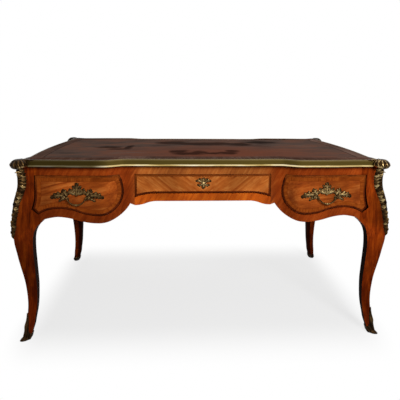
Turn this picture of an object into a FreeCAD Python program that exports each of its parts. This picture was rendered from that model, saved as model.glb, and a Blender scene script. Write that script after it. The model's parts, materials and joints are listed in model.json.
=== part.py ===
import FreeCAD, Part
import math
import os

Vector = FreeCAD.Vector

# A flat-topped writing desk in the Louis XV taste, in millimetres.
# X runs along the front, -Y is the sitter's side, +Z is up.
# The origin lies on the floor under the middle of the top.

# Overall sizes, between plan corners that the corner clasps pass
LENGTH = 1570.0
DEPTH = 800.0
HEIGHT = 780.0

# Top
TOP_THICKNESS = 29.0
VENEER_THICKNESS = 1.2
LEATHER_THICKNESS = 1.1
LEATHER_GAP = 0.3
BORDER_WIDTH = 52.0
BOARD_OVERHANG = 2.0
LOBE_RADIUS = 14.0
LOBE_NECK_LENGTH = 50.0
LOBE_NECK_WIDTH = 25.0
CLASP_WALL = 7.0
CLASP_PROJECTION = 15.0
CLASP_BELOW_TOP = 36.0
CLASP_ABOVE_TOP = 3.5
CLASP_LIP = 6.0
CLASP_BULGE = 1.5
LIP_WIDTH = 5.0
LIP_PROJECTION = 8.0
CAVETTO_PROJECTION = 6.2
TORUS_PROJECTION = 14.5
LIP_HEIGHT = 7.0
TORUS_NECK = 9.0
TORUS_HEIGHT = 11.5
EDGE_KEY = 3.0

# Plan of the frieze, measured in from the plan corner
POST_WIDTH = 95.0
POST_FACE_INSET = 43.0
BLOCK_CROWN_INSET = 34.0
CENTRE_FACE_INSET = 59.0
JUNCTION_DIP = 4.0
CROWN_FROM_CORNER = 275.0
STEP_OUTER_FROM_CORNER = 365.0
STEP_INNER_FROM_CORNER = 450.0
END_BOW = 18.0
FRONT_BACK_INSET = 85.0
END_BACK_INSET = 70.0
STRETCH_STEPS = 6
END_STEPS = 12

# Front elevation, measured in from the plan corner and down from the frieze top
RAIL_DROP = 39.0
OPENING_TOP_INNER = 424.0
OPENING_INNER = 442.0
OPENING_INNER_DROP = 114.0
OPENING_BULGE = 342.0
OPENING_BULGE_DROP = 214.0
OPENING_CROWN = 172.0
OPENING_CROWN_DROP = 183.0
OPENING_HEEL = 85.0
OPENING_HEEL_DROP = 208.0
OPENING_CHAMFER = 61.0
OPENING_CHAMFER_DROP = 182.0
OPENING_OUTER = 73.0
OPENING_OUTER_DROP = 111.0
DIVIDER_WIDTH = 46.0
CENTRE_FLAT_DROP = 124.0
CENTRE_END_DROP = 142.0
CENTRE_DIP_LENGTH = 95.0
APRON_JOINT_DROP = 245.0
APRON_EAR = 117.0
APRON_EAR_DROP = 227.0
APRON_EAR_SLOPE = 26.0
APRON_CROWN = 165.0
APRON_CROWN_DROP = 218.0
APRON_LOW = 340.0
APRON_LOW_DROP = 245.0
APRON_CUSP = 469.0
APRON_CUSP_DROP = 168.0
APRON_NOTCH = 489.0
APRON_NOTCH_DROP = 176.0
APRON_FLAT = 585.0
APRON_FLAT_DROP = 157.0
APRON_JOINT = 410.0

# End elevation
END_LOW_DROP = 239.0
END_PANEL_SIDE = 125.0
END_PANEL_HEEL_DROP = 205.0
END_PANEL_CROWN_DROP = 183.0
END_PANEL_LOW_DROP = 204.0

# Drawer fronts and the mouldings round them
DRAWER_GAP = 1.2
MOULDING_WIDTH = 9.0
MOULDING_DEPTH = 5.0
MOULDING_SINK = 1.5

# Drawer boxes
BOX_SIDE = 10.0
BOX_BOTTOM = 7.0
BOX_BOTTOM_RAISE = 6.0
BOX_GROOVE = 5.0
BOX_LENGTH = 535.0
BOX_LIFT = 3.0
BOX_HEADROOM = 7.0
SIDE_BOX_INNER_SPACE = 29.0
BOX_POST_SPACE = 14.0
CENTRE_BOX_SPACE = 22.0

# Carcass inside
PARTITION_THICKNESS = 17.0
PARTITION_HEIGHT = 187.0
RUNNER_WIDTH = 32.0
RUNNER_HEIGHT = 25.0
GUIDE_HEIGHT = 17.0
RUNNING_GAP = 0.5
GUIDE_GAP = 1.0
INNER_GUIDE_WIDTH = 9.0
KICKER_WIDTH = 22.0
KICKER_GAP = 2.0
STOP_LENGTH = 30.0
STOP_HEIGHT = 15.0
TENON_LENGTH = 25.0
TENON_THICKNESS = 12.0
TENON_SETBACK = 8.0
TENON_SHOULDER = 8.0
END_TENON_HEIGHT = 110.0
APRON_TENON_HEIGHT = 24.0

# Legs
ARRIS_FLAT = 3.0
FOOT_LIFT = 3.0

# Bronze on the legs
CHUTE_EDGE = 1.6
CHUTE_SINK = 3.0
CHUTE_CREST = 1.25
CHUTE_ROOT = 12.0
SABOT_HEIGHT = 116.0
SABOT_HEEL_HEIGHT = 18.0
SABOT_WALL = 3.0
SABOT_TOE = 7.0
SABOT_SPARE = 35.0

# Handles
HANDLE_FROM_CORNER = 250.0
HANDLE_DROP = 132.0
HANDLE_REACH = 111.0
HANDLE_CREST = 62.0
PLATE_THICKNESS = 4.0
POST_SPACING = 105.0
HANDLE_POST_RADIUS = 7.0
HANDLE_POST_LENGTH = 18.0
PIVOT_STAND = 11.0
BAIL_HALF_WIDTH = 40.0
BAIL_DROP = 30.0
BAIL_RADIUS = 4.0
KNUCKLE_RADIUS = 5.0
PIN_RADIUS = 2.5
PIN_LENGTH = 12.0
PIN_CLEARANCE = 0.3
STUD_RADIUS = 3.0
STUD_HOLE_CLEARANCE = 0.2
STUD_END = 8.0

# Lock
LOCK_WIDTH = 64.0
LOCK_HEIGHT = 50.0
LOCK_DEPTH = 13.0
BOLT_WIDTH = 22.0
BOLT_THICKNESS = 7.0
BOLT_LENGTH = 26.0
BOLT_TRAVEL = 9.0
BOLT_CLEARANCE = 0.4
MORTISE_ROOM = 2.0
ESCUTCHEON_HALF_WIDTH = 34.0
ESCUTCHEON_HALF_HEIGHT = 23.0
ESCUTCHEON_DROP = 79.0
KEYHOLE_RADIUS = 4.0
KEYHOLE_SLOT = 12.0
KEYHOLE_SLOT_WIDTH = 3.5

# Worked-out places
HALF_LENGTH = LENGTH / 2
HALF_DEPTH = DEPTH / 2
FRIEZE_TOP = HEIGHT - TOP_THICKNESS
KNEE_HEIGHT = FRIEZE_TOP - APRON_JOINT_DROP
JOINT_X = HALF_LENGTH - POST_WIDTH
JOINT_Y = HALF_DEPTH - POST_WIDTH
FRONT_BACK = HALF_DEPTH - FRONT_BACK_INSET
END_BACK = HALF_LENGTH - END_BACK_INSET
OPENING_TOP = FRIEZE_TOP - RAIL_DROP
CENTRE_HALF = HALF_LENGTH - OPENING_INNER - DIVIDER_WIDTH
LOBE_INSET = LOBE_RADIUS + CLASP_WALL
HANDLE_X = HALF_LENGTH - HANDLE_FROM_CORNER
HANDLE_Z = FRIEZE_TOP - HANDLE_DROP
BOX_TOP = OPENING_TOP - BOX_HEADROOM
SIDE_BOX_FLOOR = FRIEZE_TOP - OPENING_CROWN_DROP + BOX_LIFT
CENTRE_BOX_FLOOR = FRIEZE_TOP - CENTRE_FLAT_DROP + BOX_LIFT
SIDE_BOX_IN = HALF_LENGTH - OPENING_INNER + SIDE_BOX_INNER_SPACE
SIDE_BOX_OUT = JOINT_X - BOX_POST_SPACE
CENTRE_BOX_OUT = CENTRE_HALF - CENTRE_BOX_SPACE
PARTITION_OUT = SIDE_BOX_IN - GUIDE_GAP - INNER_GUIDE_WIDTH
PARTITION_IN = PARTITION_OUT - PARTITION_THICKNESS
BOX_END = BOX_LENGTH - FRONT_BACK
LOCK_TOP = OPENING_TOP - DRAWER_GAP
KEYHOLE_Z = FRIEZE_TOP - ESCUTCHEON_DROP

# Direction in which the aprons leave the legs
EAR_TURN = math.radians(APRON_EAR_SLOPE)
EAR_HEADING = (-math.sin(EAR_TURN), math.cos(EAR_TURN))

# Reach that is sure to pass right through any piece
FAR = 2 * (LENGTH + DEPTH)

# Leg sections from floor to knee: share of knee height, then millimetres in from the
# plan corner to the arris, the inner edge and the face at the inner edge, the depth of
# the inner side and the hollow of the face.
LEG_SECTIONS = [
    (0.000, 13.0, 38.0, 22.0, 9.0, 0.3),
    (0.020, 15.5, 46.0, 20.0, 13.0, 0.3),
    (0.050, 19.0, 51.0, 21.0, 17.0, 0.3),
    (0.120, 25.0, 60.5, 26.0, 19.0, 0.3),
    (0.200, 30.3, 66.5, 31.3, 21.0, 0.3),
    (0.272, 33.3, 71.5, 34.3, 23.0, 0.3),
    (0.360, 33.0, 74.0, 34.0, 26.0, 0.3),
    (0.460, 29.5, 75.5, 30.5, 29.0, 0.3),
    (0.560, 23.0, 75.0, 24.0, 31.0, 0.3),
    (0.660, 14.5, 74.5, 16.0, 32.5, 0.3),
    (0.760, 7.0, 73.0, 10.5, 34.0, 0.5),
    (0.840, 1.0, 71.5, 12.0, 34.5, 0.8),
    (0.910, -2.0, 70.5, 22.0, 35.0, 1.5),
    (0.960, -2.5, 77.0, 33.0, 38.0, 2.5),
]

# Arris of the post above the knee: share of the post's height, millimetres in from the
# plan corner, and hollow of the face.
POST_ARRIS = [
    (0.00, -2.5, 3.5),
    (0.12, -1.5, 4.0),
    (0.24, 2.0, 4.5),
    (0.36, 5.5, 4.5),
    (0.48, 10.5, 4.5),
    (0.60, 17.5, 4.5),
    (0.72, 21.0, 4.5),
    (0.86, 20.0, 4.5),
    (1.00, 15.5, 4.5),
]

# Chute outline: share of the height between its ends, width along each face from the
# arris, and how far it stands proud.
CHUTE_TOP_DROP = 12.0
CHUTE_BELOW_KNEE = 30.0
CHUTE_OUTLINE = [
    (0.00, 9.0, 4.0),
    (0.10, 12.0, 7.0),
    (0.25, 14.0, 9.0),
    (0.40, 16.0, 9.5),
    (0.52, 19.0, 10.0),
    (0.64, 19.0, 10.0),
    (0.76, 23.0, 10.0),
    (0.88, 24.0, 10.0),
    (0.95, 20.0, 10.5),
    (1.00, 16.0, 11.0),
]


def smooth_step(t):
    """Rise from 0 to 1 with level ends."""
    t = min(max(t, 0.0), 1.0)
    return t * t * (3 - 2 * t)


def half_depth(x):
    """Distance from the centre plane to the serpentine frieze face at a place along X."""
    x = abs(x)
    crown = HALF_DEPTH - BLOCK_CROWN_INSET
    junction = HALF_DEPTH - CENTRE_FACE_INSET - JUNCTION_DIP
    step_in = HALF_LENGTH - STEP_INNER_FROM_CORNER
    step_out = HALF_LENGTH - STEP_OUTER_FROM_CORNER
    crown_x = HALF_LENGTH - CROWN_FROM_CORNER
    if x < step_in:
        return junction + JUNCTION_DIP * (1 - (x / step_in) ** 2)
    rise = smooth_step((x - step_in) / (step_out - step_in))
    fall = smooth_step((x - crown_x) / (JOINT_X - crown_x))
    return junction + (crown - junction) * rise - (POST_FACE_INSET - BLOCK_CROWN_INSET) * fall


def half_length(y):
    """Distance from the centre plane to the bowed end face at a place along Y."""
    at_post = HALF_LENGTH - POST_FACE_INSET
    return at_post + END_BOW * (1 - min(abs(y) / JOINT_Y, 1.0) ** 2)


def spread(start, end, count):
    """Evenly spaced places from start to end."""
    return [start + (end - start) * k / count for k in range(count + 1)]


def plan_places():
    """Places along X that follow the serpentine, closer together at the two steps."""
    step_in = HALF_LENGTH - STEP_INNER_FROM_CORNER
    step_out = HALF_LENGTH - STEP_OUTER_FROM_CORNER
    half = spread(step_in, step_out, STRETCH_STEPS) + spread(step_out, HALF_LENGTH, STRETCH_STEPS)[1:]
    middle = spread(-step_in, step_in, STRETCH_STEPS)[1:-1]
    return [-x for x in reversed(half)] + middle + half


def spline(points):
    """Smooth curve through the points."""
    curve = Part.BSplineCurve()
    curve.interpolate(points)
    return curve.toShape()


def prism(edges, sweep):
    """Solid from a closed chain of edges and a sweep vector."""
    return Part.Face(Part.Wire(edges)).extrude(sweep)


def box(x0, x1, y0, y1, z0, z1):
    """Block between two corners."""
    return Part.makeBox(x1 - x0, y1 - y0, z1 - z0, Vector(x0, y0, z0))


def cylinder(start, direction, radius, length):
    """Round bar from a point along a direction."""
    return Part.makeCylinder(radius, length, start, direction)


def flipped_x(shape):
    """Mirror image to the other side."""
    return shape.mirror(Vector(0, 0, 0), Vector(1, 0, 0))


def flipped_y(shape):
    """Mirror image from back to front."""
    return shape.mirror(Vector(0, 0, 0), Vector(0, 1, 0))


class Outline:
    """A chain of straight lines and tangent arcs, drawn in a flat elevation."""

    def __init__(self, u, z, place):
        self.place = place
        self.here = Vector(u, z, 0)
        self.start = self.here
        self.heading = Vector(1, 0, 0)
        self.edges = []

    def line(self, u, z):
        end = Vector(u, z, 0)
        self.edges.append(Part.makeLine(self.place(self.here), self.place(end)))
        self.heading = (end - self.here).normalize()
        self.here = end
        return self

    def curve(self, u, z, heading=None):
        """Arc that leaves along a heading and ends at a point."""
        tangent = Vector(*heading, 0) if heading else self.heading
        end = Vector(u, z, 0)
        chord = end - self.here
        normal = Vector(-tangent.y, tangent.x, 0)
        radius = chord.dot(chord) / (2 * normal.dot(chord))
        centre = self.here + normal * radius
        middle = (self.here + end) * 0.5 - centre
        middle = centre + middle.normalize() * abs(radius)
        arc = Part.Arc(self.place(self.here), self.place(middle), self.place(end))
        self.edges.append(arc.toShape())
        self.heading = chord * (2 * chord.dot(tangent) / chord.dot(chord)) - tangent
        self.here = end
        return self

    def arrive(self, u, z, heading):
        """Arc that ends at a point along a heading."""
        chord = Vector(u, z, 0) - self.here
        last = Vector(*heading, 0)
        leave = chord * (2 * chord.dot(last) / chord.dot(chord)) - last
        return self.curve(u, z, (leave.x, leave.y))

    def s_curve(self, u, z):
        """Two equal arcs between level ends."""
        way = (math.copysign(1, u - self.here.x), 0)
        self.curve((self.here.x + u) / 2, (self.here.y + z) / 2, way)
        return self.curve(u, z)

    def close(self):
        if (self.here - self.start).Length > 1e-6:
            self.line(self.start.x, self.start.y)
        return self.edges


def front_place(point):
    return Vector(point.x, 0, point.y)


def end_place(point):
    return Vector(0, point.x, point.y)


def through_y(edges, inset=0.0):
    """Prism right through the desk along Y, its outline drawn in by an inset."""
    wire = Part.Wire(edges)
    if inset:
        wire = wire.makeOffset2D(-inset, 2)
    wire.translate(Vector(0, -FAR / 2, 0))
    return Part.Face(wire).extrude(Vector(0, FAR, 0))


def through_x(edges, inset=0.0):
    """Prism right through the desk along X, its outline drawn in by an inset."""
    wire = Part.Wire(edges)
    if inset:
        wire = wire.makeOffset2D(-inset, 2)
    wire.translate(Vector(-FAR / 2, 0, 0))
    return Part.Face(wire).extrude(Vector(FAR, 0, 0))


def depth_band(proud):
    """Slab with the serpentine face on both sides, grown by proud, at full height."""
    places = plan_places()
    front = spline([Vector(x, -half_depth(x) - proud, 0) for x in places])
    back = spline([Vector(x, half_depth(x) + proud, 0) for x in reversed(places)])
    ends = [(front, back), (back, front)]
    sides = [Part.makeLine(a.Vertexes[-1].Point, b.Vertexes[0].Point) for a, b in ends]
    return prism([front, sides[0], back, sides[1]], Vector(0, 0, HEIGHT + FAR))


def length_band(proud):
    """Slab with the bowed face at both ends, grown by proud, at full height."""
    places = spread(-HALF_DEPTH, HALF_DEPTH, END_STEPS)
    right = spline([Vector(half_length(y) + proud, y, 0) for y in places])
    left = spline([Vector(-half_length(y) - proud, y, 0) for y in reversed(places)])
    ends = [(right, left), (left, right)]
    sides = [Part.makeLine(a.Vertexes[-1].Point, b.Vertexes[0].Point) for a, b in ends]
    return prism([right, sides[0], left, sides[1]], Vector(0, 0, HEIGHT + FAR))


def between_heights(shape, low, high):
    """The part of a shape between two heights."""
    return shape.common(box(-FAR, FAR, -FAR, FAR, low, high))


FRONT_SPACE = box(-FAR, FAR, -FAR, 0, 0, FAR)
BACK_SPACE = box(-FAR, FAR, 0, FAR, 0, FAR)
RIGHT_SPACE = box(0, FAR, -FAR, FAR, 0, FAR)


def side_opening():
    """Opening of the right-hand drawer, seen from the front."""
    out = Outline(HALF_LENGTH - OPENING_TOP_INNER, OPENING_TOP, front_place)
    out.line(HALF_LENGTH - OPENING_OUTER, OPENING_TOP)
    out.line(HALF_LENGTH - OPENING_OUTER, FRIEZE_TOP - OPENING_OUTER_DROP)
    out.curve(HALF_LENGTH - OPENING_CHAMFER, FRIEZE_TOP - OPENING_CHAMFER_DROP)
    out.line(HALF_LENGTH - OPENING_HEEL, FRIEZE_TOP - OPENING_HEEL_DROP)
    crown = (HALF_LENGTH - OPENING_CROWN, FRIEZE_TOP - OPENING_CROWN_DROP)
    out.arrive(*crown, (-1, 0))
    out.s_curve(HALF_LENGTH - OPENING_BULGE, FRIEZE_TOP - OPENING_BULGE_DROP)
    out.curve(HALF_LENGTH - OPENING_INNER, FRIEZE_TOP - OPENING_INNER_DROP, (-1, 0))
    out.curve(HALF_LENGTH - OPENING_TOP_INNER, OPENING_TOP, (0, 1))
    return out.close()


def centre_opening():
    """Opening of the middle drawer, seen from the front."""
    flat = FRIEZE_TOP - CENTRE_FLAT_DROP
    end = FRIEZE_TOP - CENTRE_END_DROP
    dip = CENTRE_HALF - CENTRE_DIP_LENGTH
    out = Outline(-CENTRE_HALF, OPENING_TOP, front_place)
    out.line(CENTRE_HALF, OPENING_TOP)
    out.line(CENTRE_HALF, end)
    out.arrive(dip, flat, (-1, 0))
    out.line(-dip, flat)
    out.curve(-CENTRE_HALF, end)
    return out.close()


def frieze_outline():
    """Outline of the whole frieze between the legs, seen from the front."""
    out = Outline(-JOINT_X, FRIEZE_TOP, front_place)
    out.line(JOINT_X, FRIEZE_TOP)
    out.line(JOINT_X, KNEE_HEIGHT)
    ear = (HALF_LENGTH - APRON_EAR, FRIEZE_TOP - APRON_EAR_DROP)
    crown = (HALF_LENGTH - APRON_CROWN, FRIEZE_TOP - APRON_CROWN_DROP)
    low = (HALF_LENGTH - APRON_LOW, FRIEZE_TOP - APRON_LOW_DROP)
    cusp = (HALF_LENGTH - APRON_CUSP, FRIEZE_TOP - APRON_CUSP_DROP)
    notch = (HALF_LENGTH - APRON_NOTCH, FRIEZE_TOP - APRON_NOTCH_DROP)
    flat = (HALF_LENGTH - APRON_FLAT, FRIEZE_TOP - APRON_FLAT_DROP)
    out.curve(*ear, EAR_HEADING)
    out.curve(*crown)
    out.s_curve(*low)
    out.curve(*cusp, (-1, 0))
    out.line(*notch)
    out.s_curve(*flat)
    out.line(-flat[0], flat[1])
    out.s_curve(-notch[0], notch[1])
    out.line(-cusp[0], cusp[1])
    out.arrive(-low[0], low[1], (-1, 0))
    out.s_curve(-crown[0], crown[1])
    out.curve(-ear[0], ear[1])
    out.curve(-JOINT_X, KNEE_HEIGHT)
    return out.close()


def end_outline():
    """Outline of an end frieze between its legs, seen from the end."""
    ear = (HALF_DEPTH - APRON_EAR, FRIEZE_TOP - APRON_EAR_DROP)
    crown = (HALF_DEPTH - APRON_CROWN, FRIEZE_TOP - APRON_CROWN_DROP)
    out = Outline(-JOINT_Y, FRIEZE_TOP, end_place)
    out.line(JOINT_Y, FRIEZE_TOP)
    out.line(JOINT_Y, KNEE_HEIGHT)
    out.curve(*ear, EAR_HEADING)
    out.curve(*crown)
    out.s_curve(0, FRIEZE_TOP - END_LOW_DROP)
    out.s_curve(-crown[0], crown[1])
    out.curve(-ear[0], ear[1])
    out.curve(-JOINT_Y, KNEE_HEIGHT)
    return out.close()


def end_panel_outline():
    """Outline of the moulded panel on an end, seen from the end."""
    side = HALF_DEPTH - END_PANEL_SIDE
    heel = FRIEZE_TOP - END_PANEL_HEEL_DROP
    crown = (HALF_DEPTH - APRON_CROWN, FRIEZE_TOP - END_PANEL_CROWN_DROP)
    out = Outline(-side, OPENING_TOP, end_place)
    out.line(side, OPENING_TOP)
    out.line(side, heel)
    out.arrive(*crown, (-1, 0))
    out.s_curve(0, FRIEZE_TOP - END_PANEL_LOW_DROP)
    out.s_curve(-crown[0], crown[1])
    out.curve(-side, heel)
    return out.close()


def leg_wire(z, arris, inner, face, side, hollow, grow=0.0):
    """Section of the rear right leg at a height, grown outward by a skin."""
    arris -= grow
    inner += grow
    face -= grow
    side += 2 * grow
    inset = [(arris, arris), (inner, face), (inner, face + side),
             (face + side, inner), (face, inner)]
    corners = [Vector(HALF_LENGTH - i, HALF_DEPTH - j, z) for i, j in inset]
    tip, near, turn, far_turn, far = corners
    starts = []
    faces = []
    for edge in (near, far):
        along = (edge - tip).normalize()
        start = tip + along * ARRIS_FLAT
        normal = Vector(-along.y, along.x, 0)
        normal = normal if normal.dot(turn + far_turn - tip * 2) > 0 else -normal
        dip = (start + edge) * 0.5 + normal * hollow
        starts.append(start)
        faces.append(Part.Arc(start, dip, edge).toShape())
    return Part.Wire([faces[0], Part.makeLine(near, turn), Part.makeLine(turn, far_turn),
                      Part.makeLine(far_turn, far), faces[1], Part.makeLine(starts[1], starts[0])])


def leg_sections():
    """All leg sections from foot to post top, as heights with their sizes."""
    post_height = FRIEZE_TOP - KNEE_HEIGHT
    side = FRONT_BACK_INSET - POST_FACE_INSET
    rows = [(max(share * KNEE_HEIGHT, FOOT_LIFT), *sizes) for share, *sizes in LEG_SECTIONS]
    for share, arris, hollow in POST_ARRIS:
        z = KNEE_HEIGHT + share * post_height
        rows.append((z, arris, POST_WIDTH, POST_FACE_INSET, side, hollow))
    return rows


def leg_sizes_at(z):
    """Leg section sizes at any height, between the given sections."""
    rows = leg_sections()
    if z <= rows[0][0]:
        return rows[0][1:]
    for low, high in zip(rows, rows[1:]):
        if z <= high[0]:
            t = (z - low[0]) / (high[0] - low[0])
            return tuple(a + (b - a) * t for a, b in zip(low[1:], high[1:]))
    return rows[-1][1:]


def plain_leg():
    """Rear right leg with its post, before any joint is cut."""
    rows = leg_sections()
    knee = len(LEG_SECTIONS)
    lower = Part.makeLoft([leg_wire(*row) for row in rows[:knee + 1]], True)
    upper = Part.makeLoft([leg_wire(*row) for row in rows[knee:]], True)
    return lower.fuse(upper)


def post_tenons():
    """Tenons that enter the rear right post: from rail, from apron and from the end."""
    y0 = FRONT_BACK + TENON_SETBACK
    x0 = END_BACK + TENON_SETBACK
    high = FRIEZE_TOP - TENON_SHOULDER
    low = KNEE_HEIGHT + TENON_SHOULDER
    rail = box(JOINT_X, JOINT_X + TENON_LENGTH, y0, y0 + TENON_THICKNESS,
               OPENING_TOP + TENON_SHOULDER, high)
    apron = box(JOINT_X, JOINT_X + TENON_LENGTH, y0, y0 + TENON_THICKNESS,
                low, low + APRON_TENON_HEIGHT)
    end = box(x0, x0 + TENON_THICKNESS, JOINT_Y, JOINT_Y + TENON_LENGTH,
              high - END_TENON_HEIGHT, high)
    return rail, apron, end


def chute(leg):
    """Bronze mount that rides the rear right arris from post top to below the knee."""
    low = KNEE_HEIGHT - CHUTE_BELOW_KNEE
    high = FRIEZE_TOP - CHUTE_TOP_DROP
    wires = []
    for share, width, proud in CHUTE_OUTLINE:
        z = low + share * (high - low)
        arris, inner, face = leg_sizes_at(z)[:3]
        tip = Vector(HALF_LENGTH - arris, HALF_DEPTH - arris, z)
        along = Vector(arris - inner, arris - face, 0).normalize()
        out = Vector(-along.y, along.x, 0)
        out = out if out.y > 0 else -out
        half = [tip + along * width - out * CHUTE_SINK,
                tip + along * width + out * CHUTE_EDGE,
                tip + along * (width / 2) + out * proud]
        crest = tip + Vector(1, 1, 0).normalize() * (proud * CHUTE_CREST)
        swap = [Vector(HALF_LENGTH - HALF_DEPTH + p.y, HALF_DEPTH - HALF_LENGTH + p.x, z)
                for p in reversed(half)]
        heart = tip - Vector(1, 1, 0) * CHUTE_ROOT
        wires.append(Part.makePolygon(half + [crest] + swap + [heart, half[0]]))
    return Part.makeLoft(wires, True).cut(leg)


def sabot(leg):
    """Bronze shoe round the rear right foot, high on the arris and low at the heel."""
    rows = [row for row in leg_sections() if row[0] < SABOT_HEIGHT + SABOT_SPARE]
    skins = [SABOT_TOE] + [SABOT_WALL] * (len(rows) - 1)
    heights = [0.0] + [row[0] for row in rows[1:]]
    wires = [leg_wire(z, *row[1:], grow=skin) for z, row, skin in zip(heights, rows, skins)]
    shoe = Part.makeLoft(wires, True).cut(leg)
    inner = rows[0][2]
    crest = leg_sizes_at(SABOT_HEIGHT)[0] - SABOT_WALL
    corner = Vector(HALF_LENGTH, HALF_DEPTH, 0)
    across = Vector(1, -1, 0).normalize() * POST_WIDTH
    slope = [Vector(0, 0, SABOT_HEIGHT), Vector(-crest, -crest, SABOT_HEIGHT),
             Vector(-inner, -inner, SABOT_HEEL_HEIGHT),
             Vector(-2 * inner, -2 * inner, SABOT_HEEL_HEIGHT),
             Vector(-2 * inner, -2 * inner, 2 * SABOT_HEIGHT), Vector(0, 0, 2 * SABOT_HEIGHT)]
    rim = [corner + point - across for point in slope]
    above = Part.Face(Part.makePolygon(rim + [rim[0]])).extrude(across * 2)
    return shoe.cut(above)


def sunk_ring(prism_of, outline, band_of, half_space):
    """Moulding round an outline, and the channel cut for it, on one side of the desk."""
    outer = prism_of(outline, DRAWER_GAP)
    ring = outer.cut(prism_of(outline, DRAWER_GAP + MOULDING_WIDTH))
    open_channel = ring.cut(band_of(-MOULDING_DEPTH))
    moulding = open_channel.common(band_of(-MOULDING_SINK))
    return moulding.common(half_space), open_channel.common(half_space)


def group(shapes):
    """Separate solids of one node."""
    return Part.makeCompound([solid.copy() for shape in shapes for solid in shape.Solids])


def largest(shape):
    """The biggest solid of a shape that a cut has split."""
    return max(shape.Solids, key=lambda solid: solid.Volume)


def edge_moulding(path, start, outward):
    """Brass moulding swept along one edge of the board, with a key to be cut away."""
    def at(out, up):
        return start + outward * out + Vector(0, 0, up)
    neck = TORUS_HEIGHT - TOP_THICKNESS
    key_top = at(-EDGE_KEY, 0)
    key_foot = at(-EDGE_KEY, -TOP_THICKNESS)
    lip_top = at(LIP_WIDTH, 0)
    lip_nose = at(LIP_PROJECTION, -LIP_HEIGHT / 2)
    lip_foot = at(CAVETTO_PROJECTION, -LIP_HEIGHT)
    hollow = at(CAVETTO_PROJECTION, (neck - LIP_HEIGHT) / 2)
    torus_top = at(TORUS_NECK, neck)
    torus_nose = at(TORUS_PROJECTION, neck - TORUS_HEIGHT / 2)
    torus_foot = at(TORUS_NECK, -TOP_THICKNESS)
    section = Part.Wire([
        Part.makeLine(key_top, lip_top),
        Part.Arc(lip_top, lip_nose, lip_foot).toShape(),
        Part.Arc(lip_foot, hollow, torus_top).toShape(),
        Part.Arc(torus_top, torus_nose, torus_foot).toShape(),
        Part.makeLine(torus_foot, key_foot),
        Part.makeLine(key_foot, key_top)])
    shell = Part.BRepOffsetAPI.MakePipeShell(Part.Wire([path]))
    shell.setBiNormalMode(Vector(0, 0, 1))
    shell.add(section, False, True)
    shell.build()
    shell.makeSolid()
    return shell.shape()


def corner_clasp():
    """Cast corner on the rear right lobe of the top, before the board is cut away."""
    r0 = LOBE_RADIUS
    r1 = r0 + CLASP_WALL + CLASP_PROJECTION
    low = HEIGHT - CLASP_BELOW_TOP
    crest = HEIGHT + CLASP_ABOVE_TOP
    middle = (low + HEIGHT) / 2
    wall = r0 + CLASP_WALL
    points = [(r0, low), (wall, low), (r1, middle), (wall, HEIGHT),
              (r0, crest), (r0 - CLASP_LIP, HEIGHT), (r0, HEIGHT)]
    spots = [Vector(r, 0, z) for r, z in points]
    swell = (spots[3] + spots[4]) * 0.5 + Vector(CLASP_BULGE, 0, CLASP_BULGE)
    edges = [Part.makeLine(spots[0], spots[1]),
             Part.Arc(spots[1], spots[2], spots[3]).toShape(),
             Part.Arc(spots[3], swell, spots[4]).toShape(),
             Part.makeLine(spots[4], spots[5]),
             Part.makeLine(spots[5], spots[6]),
             Part.makeLine(spots[6], spots[0])]
    ring = Part.Face(Part.Wire(edges)).revolve(Vector(0, 0, 0), Vector(0, 0, 1), 360)
    ring.translate(Vector(HALF_LENGTH - LOBE_INSET, HALF_DEPTH - LOBE_INSET, 0))
    return ring


def lobe():
    """Round corner of the top at the rear right."""
    centre = Vector(HALF_LENGTH - LOBE_INSET, HALF_DEPTH - LOBE_INSET, FRIEZE_TOP)
    return cylinder(centre, Vector(0, 0, 1), LOBE_RADIUS, TOP_THICKNESS)


def lobe_neck():
    """Bar that ties the rear right lobe to the board."""
    centre = Vector(HALF_LENGTH - LOBE_INSET, HALF_DEPTH - LOBE_INSET, FRIEZE_TOP)
    root = centre - Vector(LOBE_NECK_LENGTH, LOBE_NECK_LENGTH, 0)
    across = Vector(1, -1, 0).normalize() * (LOBE_NECK_WIDTH / 2)
    corners = [centre + across, centre - across, root - across, root + across]
    return Part.Face(Part.makePolygon(corners + corners[:1])).extrude(Vector(0, 0, TOP_THICKNESS))


def four_corners(shape):
    """The rear right piece repeated at every corner, with the corner's name."""
    front = flipped_y(shape)
    return {"front_left": flipped_x(front), "front_right": front,
            "rear_left": flipped_x(shape), "rear_right": shape}


def handle_outline():
    """Foliate outline of a handle mount, its pivots level with the middle."""
    half = [(0.0, 1.0), (0.17, 0.86), (0.20, 0.62), (0.34, 0.36), (0.58, 0.38),
            (0.80, 0.26), (1.0, 0.05), (0.82, -0.10), (0.62, -0.12), (0.46, -0.26),
            (0.30, -0.10), (0.16, 0.18), (0.0, 0.24)]
    right = [(HANDLE_X + u * HANDLE_REACH, HANDLE_Z + v * HANDLE_CREST) for u, v in half]
    left = [(2 * HANDLE_X - x, z) for x, z in reversed(right[1:-1])]
    points = [Vector(x, 0, z) for x, z in right + left]
    curve = Part.BSplineCurve()
    curve.interpolate(points, True)
    return [curve.toShape()]


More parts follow.
